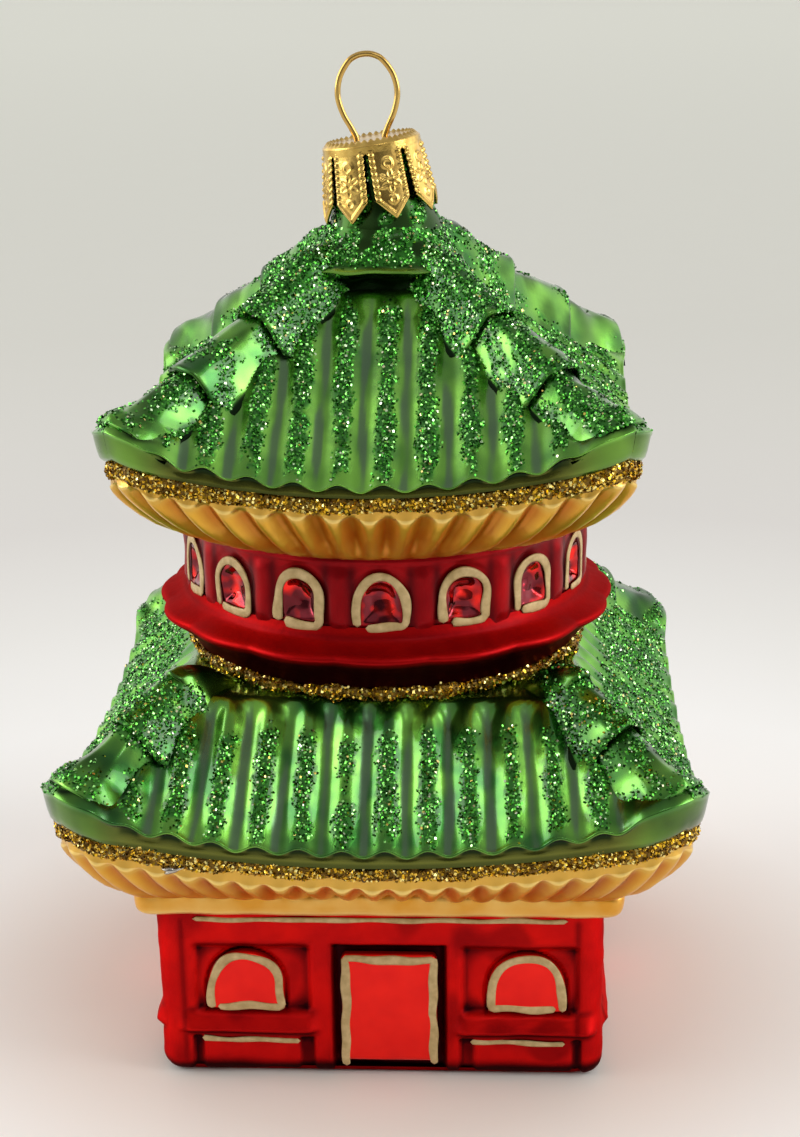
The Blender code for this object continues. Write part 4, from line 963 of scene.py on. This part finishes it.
for roof in (LOWER_ROOF, UPPER_ROOF):
    for quarter, corner_name in enumerate(HIP_NAMES):
        tiles, flakes = [], []
        for number, (sizes, cover) in enumerate(zip(TILES[roof.name], TILE_GLITTER[roof.name][quarter])):
            seed = 200 + 20 * quarter + 3 * number + (9 if roof is UPPER_ROOF else 0)
            start, end, rise_in, rise_out, wide_in, wide_out, ridge = sizes
            higher = TALLER.get((roof.name, corner_name), 0.0)
            grid, dark = cover_tile(roof, start, end, rise_in + higher, rise_out + higher, wide_in + higher / 2,
                                    wide_out + higher / 2, ridge, seed)
            ragged = 0.5 + 0.35 * wobble(grid, 5.0, seed + 1) + 0.15 * wobble(grid, 1.6, seed + 2)
            mask = ease(ragged + cover - 1.0, 0.0, 0.3) * (1 - dark)
            grid = quarter_turned(grid, quarter)
            # Painted shade: random darker patches, the back corners darker all over, and the dark under noses and feet.
            shade = 0.5 * ease(wobble(grid, 7.0, seed + 5), 0.0, 0.7) + (0.2 if quarter in (1, 2) else 0.0)
            tiles.append(glass_skin(grid, mask, deep=np.maximum(dark, shade)))
            flakes.append(scatter_flakes(grid, mask, FLAKES_PER_MM2, GREEN_FLAKE, 0.14, 0.42, seed))
        nodes = (f"{roof.name}_hip_{corner_name}",)
        add_piece(f"{roof.name}_ridge_{corner_name}", joined(tiles), green_glass, nodes)
        add_piece(f"{roof.name}_ridge_flakes_{corner_name}", joined(flakes), green_flakes)


# Skirt under the round storey. Satin red glass flared out over the lower roof, with a soft lobe under each
# window, and turned back in to the glitter ring.

DRUM_RADIUS = 26.4
DRUM_TURN = math.radians(2.0)
WINDOWS = 16
SKIRT_SECTION = np.array([(24.4, 51.9), (25.4, 52.4), (26.3, 53.6), (27.7, 55.3), (29.3, 56.5), (29.95, 57.2),
                          (29.6, 57.8), (28.3, 58.3), (27.1, 58.9), (26.6, 59.7), (26.35, 60.6)])

section = smooth_path(SKIRT_SECTION, 3)
angle = np.arange(480) / 480.0 * math.tau
lobe = np.abs(np.cos((angle + math.pi / 2 - DRUM_TURN) * WINDOWS / 2))
reach = section[:, :1] + (0.7 * (lobe - 0.7)) * ease(section[:, :1], 26.8, 29.6)
grid = np.stack([reach * np.cos(angle), reach * np.sin(angle), np.broadcast_to(section[:, 1:], reach.shape)], axis=-1)
grid *= 1.0 + 0.004 * wobble(grid, 14.0, 300)[..., None] * np.array((1.0, 1.0, 0.0))
# Painted shade: black under the skirt's edge, darker in the crease below the drum, and the whole skirt a little darker.
shade_amount = np.max([ease(section[:, 1:], 57.2, 56.2), 0.7 * bell(section[:, 1:], 59.3, 0.9), 0.45 + 0.0 * section[:, 1:]], axis=0)
shade_amount = shade_amount + 0.0 * reach
add_piece("drum_flared_skirt", skin(grid, {"pool": shade_amount}, around=True), satin_red, ("drum_skirt",))


# Round storey. Satin red wall with soft pilasters between 16 arched dimples; the dimples are left glossy
# and mirror like, and each is framed in the same thick enamel as below.

DIMPLE_HALF, DIMPLE_LOW, DIMPLE_HIGH = 2.35, 61.1, 66.5
WINDOW_PITCH = math.tau * DRUM_RADIUS / WINDOWS


def drum_place(across, z, out):
    """A point on the drum: across is the way round from the front window's middle, in millimetres."""
    angle = across / DRUM_RADIUS - math.pi / 2 + DRUM_TURN
    return np.stack(np.broadcast_arrays((DRUM_RADIUS + out) * np.cos(angle), (DRUM_RADIUS + out) * np.sin(angle), z), axis=-1)


across = np.arange(16 * 40) / 40.0 * WINDOW_PITCH
s, z = np.meshgrid(across, np.linspace(59.0, 70.3, 44))
local = (s + WINDOW_PITCH / 2) % WINDOW_PITCH - WINDOW_PITCH / 2
inside = -arch_distance(local, z, DIMPLE_HALF, DIMPLE_LOW, DIMPLE_HIGH)
relief = 0.4 * bell(np.abs(local), WINDOW_PITCH / 2, 1.3) * ease(z, 68.6, 66.6) * ease(z, 59.8, 61.4) - 1.0 * ease(inside, -0.35, 1.6)
relief = relief - 0.25 * within(inside, -1.6, -0.2, 0.8) + 0.2 * bell(z, 68.8, 0.22)
flat = drum_place(s, z, 0.0)
relief = relief + 0.08 * wobble(flat, 6.0, 310) + 0.15 * wobble(flat, 2.2, 311) * ease(inside, 0.0, 0.8)
# Painted shade in dark upright lines beside each pilaster, on the wall but not in the dimples.
shade_amount = 0.7 * bell(np.abs(local), WINDOW_PITCH / 2 - 1.6, 0.6) * within(z, 59.0, 68.3, 2.0)
pane = ease(inside, -0.15, 0.15)
gloss = {"pool": shade_amount * (1 - pane), "pane": pane}

drum_red, shader, wire = new_finish("drum_red", coat_roughness=0.06)
pool, pane = mark_wire(wire, "pool"), mark_wire(wire, "pane")
tone = cloudy(wire, 150.0, 3.0)
# Painted reflections: random dark and bright patches in the dimples' colour stand for what they mirror.
dimple_reflections = (cloudy(wire, 420.0, 1.0) * 5.0 - 2.3).fade((0.17, 0.006, 0.014), PANE_BRIGHT)
lacquer = pane.fade((tone * 1.6 - 0.5).fade((0.22, 0.002, 0.005), (0.52, 0.005, 0.007)), dimple_reflections)
# Painted shade darkens the drum's red where the mark is.
pool.fade(lacquer, RED_PAINTED_SHADE).into(shader, "Base Color")
(0.94 + 0.04 * pane).into(shader, "Metallic")
(0.06 + 0.4 * pane).into(shader, "Coat Weight")
(0.40 + 0.1 * cloudy(wire, 900.0) - 0.36 * pane).into(shader, "Roughness")
bumpy(wire, cloudy(wire, 500.0, 2.0), 0.00008).into(shader, "Normal")
add_piece("drum_windowed_wall", skin(drum_place(s, z, relief), gloss, around=True), drum_red, ("drum_wall",))

strokes = []
for window in range(WINDOWS):
    rng = np.random.default_rng(320 + window)
    half, low, high = 2.8 + rng.uniform(-0.15, 0.2), 60.5 + rng.uniform(-0.2, 0.2), 67.1 + rng.uniform(-0.25, 0.25)
    head_angle = np.linspace(math.pi, 0.0, 24)
    head = np.stack([half * np.cos(head_angle), high - half + half * np.sin(head_angle)], axis=-1)
    gap = rng.uniform(0.3, 1.4)
    line = np.concatenate([[(-half, low + 0.1)], head, [(half, low + 0.5), (half - 0.5, low), (gap - half, low + 0.1)]])
    line = even_outline(line, 64, closed=False)
    sides = drum_place(line[:, 0] + window * WINDOW_PITCH, line[:, 1], 0.12)
    normal = sides * (1.0, 1.0, 0.0)
    normal /= np.linalg.norm(normal, axis=1, keepdims=True)
    strokes.append(skin(brush_line(sides, normal, rng.uniform(1.0, 1.3), 0.11, 340 + window), around=True))
add_piece("drum_painted_outlines", joined(strokes), enamel, weld=True)


# Ledge and neck. The same green glass drawn up from the roof: a thin square ledge, then the round neck that
# leans to the left, with patches of glitter. Painted shade darkens both, nearly black under the ledge.

LEDGE_SECTION = np.array([(8.0, 3.8, 97.6, 0.0), (8.2, 3.8, 99.0, 0.0), (8.8, 4.0, 100.3, 0.0), (10.0, 5.4, 100.85, 0.0),
                          (10.5, 6.2, 101.05, 0.0), (10.35, 6.4, 101.3, 0.0), (9.4, 6.8, 101.9, 0.1),
                          (8.7, 7.4, 103.3, 0.3), (7.8, 7.6, 104.6, 0.5), (7.1, 7.0, 106.0, 0.6)])
CAP_MIDDLE = np.array((-1.05, 0.0, 116.3))
CAP_LEAN = math.radians(-8.0)
NECK_SECTION = np.array([(7.6, -12.4), (7.25, -11.3), (6.9, -10.2), (6.4, -8.6), (5.9, -7.0), (5.6, -5.0), (5.4, -1.0)])


def leaned(points, lean):
    """Points given from the middle of the cap's top, leaned about the Y axis and set in their place."""
    cos, sin = math.cos(lean), math.sin(lean)
    return points @ np.array([[cos, 0.0, -sin], [0.0, 1.0, 0.0], [sin, 0.0, cos]]) + CAP_MIDDLE


share = np.arange(200) / 200.0
rows = []
for half, corner, z, shift in smooth_path(LEDGE_SECTION, 3):
    x, y, _, _ = square_ring(half, min(corner, half - 0.01), share)
    rows.append(np.stack([x + shift, y, np.full_like(x, z)], axis=-1))
ledge = np.array(rows)
ledge += 0.12 * wobble(ledge, 5.0, 360)[..., None]
angle = np.arange(200) / 200.0 * math.tau
section = smooth_path(NECK_SECTION, 5)
neck = leaned(np.stack([section[:, :1] * np.cos(angle), section[:, :1] * np.sin(angle),
                        np.broadcast_to(section[:, 1:], (len(section), 200))], axis=-1), CAP_LEAN)
neck += 0.12 * wobble(neck, 5.0, 361)[..., None] * np.array((1.0, 1.0, 0.0))
for name, grid, node, low, cover, streaks in (("ledge", ledge, "roof_collar", 101.5, 1.0, 0.0),
                                              ("bottle_neck", neck, "neck", 104.0, 0.55, 0.6)):
    ragged = cover + 0.4 * wobble(grid, 4.5, 362) + 0.2 * wobble(grid, 1.7, 363) - 0.5
    mask = ease(ragged, 0.0, 0.3) * ease(grid[..., 2], low, low + 0.5)
    # Painted shade: dark below each piece's glitter line, nearly as dark above it, and in streaks on the neck.
    dark = np.maximum(ease(grid[..., 2], low - 0.8, low - 1.3), 0.9 * ease(grid[..., 2], low - 0.25, low + 0.2))
    dark = np.maximum(dark, streaks * ease(wobble(grid, 5.0, 365), -0.2, 0.5))
    made = glass_skin(grid, mask, olive=0.15 * (1 - dark) * (name == "ledge"), deep=dark, thin=0.6 * (1 - dark), around=True)
    add_piece(name, made, green_glass, (node,))
    add_piece(f"{name}_flakes", scatter_flakes(grid, mask, FLAKES_PER_MM2, GREEN_FLAKE, 0.14, 0.42, 364, around=True), green_flakes)


# Cap. Thin pressed sheet metal with a pale gold finish, pushed over the neck: a beaded disc and eight
# prongs with pointed tips, each stamped with beads along its edges, a boss, a six-petal rosette and a ring.

CAP_RADIUS, CAP_COLLAR = 6.1, 1.3
PRONGS, PRONG_SHOULDER, PRONG_LENGTH, PRONG_HALF = 8, 7.1, 9.5, 2.12
CAP_SHEET = 0.28


def stamped(x, y):
    """Relief of a prong in millimetres, x across from its middle and y down from the cap's edge: a row of
    round beads inside both edges, a ridge along the tip, a ring, six petals of a star, and a ring near the tip."""
    tip = (y - PRONG_SHOULDER) / (PRONG_LENGTH - PRONG_SHOULDER)
    half = PRONG_HALF * np.clip(1.0 - tip, 0.0, 1.0)
    inset = (half - np.abs(x)) * np.where(tip > 0, 0.72, 1.0)
    from_bead = np.hypot(inset - 0.38, (y / 0.77 + 0.5) % 1.0 * 0.77 - 0.385)
    relief = 0.26 * np.sqrt(np.clip(1.0 - (from_bead / 0.33) ** 2, 0.0, 1.0)) * (y > 1.0) * (tip < 0.04)
    relief = relief + 0.2 * np.exp(-((inset - 0.36) / 0.17) ** 2) * ease(tip, -0.02, 0.08)
    ring = np.hypot(x, y - 2.75)
    relief = relief + 0.17 * np.exp(-((ring - 0.55) / 0.17) ** 2) + 0.06 * ease(ring, 0.6, 0.3)
    r, turn = np.hypot(x, y - 4.85), np.arctan2(y - 4.85, x)
    leaf = np.abs((turn / (math.tau / 6)) % 1.0 - 0.5) * math.tau / 6 * r
    petal = 0.30 * np.sin(math.pi * np.clip((r - 0.3) / 1.2, 0.0, 1.0))
    relief = relief + 0.16 * np.exp(-((leaf - petal) / 0.10) ** 2) * (r > 0.3) * (r < 1.5)
    return relief + 0.16 * np.exp(-((np.hypot(x, y - 7.1) - 0.42) / 0.15) ** 2)


cap_gold, shader, wire = new_finish("pressed_gold_sheet", metallic=1.0)
tone = cloudy(wire, 700.0, 3.0)
(tone * 1.6 - 0.3).fade((0.50, 0.29, 0.055), (0.92, 0.65, 0.19)).into(shader, "Base Color")
(0.14 + 0.16 * tone).into(shader, "Roughness")
bumpy(wire, cloudy(wire, 1800.0, 2.0), 0.00003).into(shader, "Normal")

u = np.linspace(-1.0, 1.0, 37)
v = np.linspace(0.0, 1.0, 73)[:, None]
cap_skins = []
for prong in range(PRONGS):
    middle = (prong + 0.5) * math.tau / PRONGS - math.pi / 2 - math.radians(4.5)
    end = PRONG_LENGTH - (PRONG_LENGTH - PRONG_SHOULDER) * np.abs(u)
    y = 0.35 + (end - 0.35) * v
    body = math.pi / PRONGS * CAP_RADIUS
    half = body + (PRONG_HALF - body) * ease(y, 1.15, 1.6)
    x = u * half
    spread = CAP_RADIUS + 0.1 + 1.35 * np.clip((y - CAP_COLLAR) / PRONG_LENGTH, 0.0, 1.0) + stamped(x, y)
    angle = middle + x / (CAP_RADIUS + 0.9 * np.clip((y - CAP_COLLAR) / PRONG_LENGTH, 0.0, 1.0))
    rim = np.stack([spread * np.cos(angle), spread * np.sin(angle), -y], axis=-1)
    cap_skins.append(skin(leaned(rim, CAP_LEAN)[::-1]))
angle = np.arange(192) / 192 * math.tau - math.pi / 2
beads = np.abs(np.cos(angle * 21))
disc_r = np.array([0.001, 1.0, 2.0, 3.0, 4.0, 4.4, 4.6, 4.8, 5.0, 5.2, 5.4, 5.6, 5.8, 5.95, 6.1, 6.18, 6.2])[:, None]
disc_z = np.array([0.0, 0.0, 0.0, 0.0, 0.0, 0.0, 0.0, 0.0, 0.0, 0.0, 0.0, -0.01, -0.05, -0.12, -0.24, -0.36, -0.5])[:, None]
disc_z = disc_z + 0.4 * np.exp(-((disc_r - 5.4) / 0.32) ** 2) * beads + 0.05 * np.exp(-((disc_r - 4.7) / 0.2) ** 2)
disc = np.stack([disc_r * np.cos(angle), disc_r * np.sin(angle), np.broadcast_to(disc_z, (17, 192))], axis=-1)
cap_skins.append(skin(leaned(disc, CAP_LEAN)[::-1], around=True))
cap_piece = add_piece("pressed_cap", joined(cap_skins), cap_gold, ("cap",), weld=True)
sheet = cap_piece.modifiers.new("sheet", "SOLIDIFY")
sheet.thickness = CAP_SHEET * 0.001
sheet.offset = -1.0


# Hanging loop. Round brass wire bent to a pear, its sprung legs through the cap's two holes.

WIRE_HALF = 0.38
LOOP_LEAN = math.radians(-3.0)
LOOP_KNOTS = np.array([(-2.9, -4.5), (-1.9, -1.6), (-1.75, 0.0), (-2.2, 1.2), (-3.2, 3.2), (-3.72, 5.4),
                       (-3.35, 7.6), (-2.2, 9.4), (-1.15, 10.1), (0.0, 10.3)])

loop_gold, shader, wire = new_finish("drawn_wire", metallic=1.0)
cloudy(wire, 300.0, 2.0).fade((0.52, 0.30, 0.07), (0.80, 0.55, 0.18)).into(shader, "Base Color")
(0.16 + 0.1 * cloudy(wire, 1500.0)).into(shader, "Roughness")

path = smooth_path(np.concatenate([LOOP_KNOTS, LOOP_KNOTS[-2::-1] * (-1.0, 1.0)]), 9)
path = np.stack([path[:, 0], np.zeros(len(path)), path[:, 1]], axis=-1)
tangent = np.gradient(path, axis=0)
tangent /= np.linalg.norm(tangent, axis=1, keepdims=True)
side = np.stack([-tangent[:, 2], np.zeros(len(path)), tangent[:, 0]], axis=-1)
angle = np.linspace(0.0, math.tau, 17)[:-1]
half = np.full(len(path), WIRE_HALF)
half[[0, -1]] = 0.001
tube = (path[:, None] + side[:, None] * (half[:, None] * np.cos(angle))[..., None]
        + np.array((0.0, -1.0, 0.0)) * (half[:, None] * np.sin(angle))[..., None])
add_piece("wire_hanging_loop", skin(leaned(tube, LOOP_LEAN), around=True), loop_gold, ("hanging_loop",),
          weld=True)

sizes = {"cad": [[float(v) for v in side] for side in cad_box],
         "visual": [[float(v) for v in side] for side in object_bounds()]}
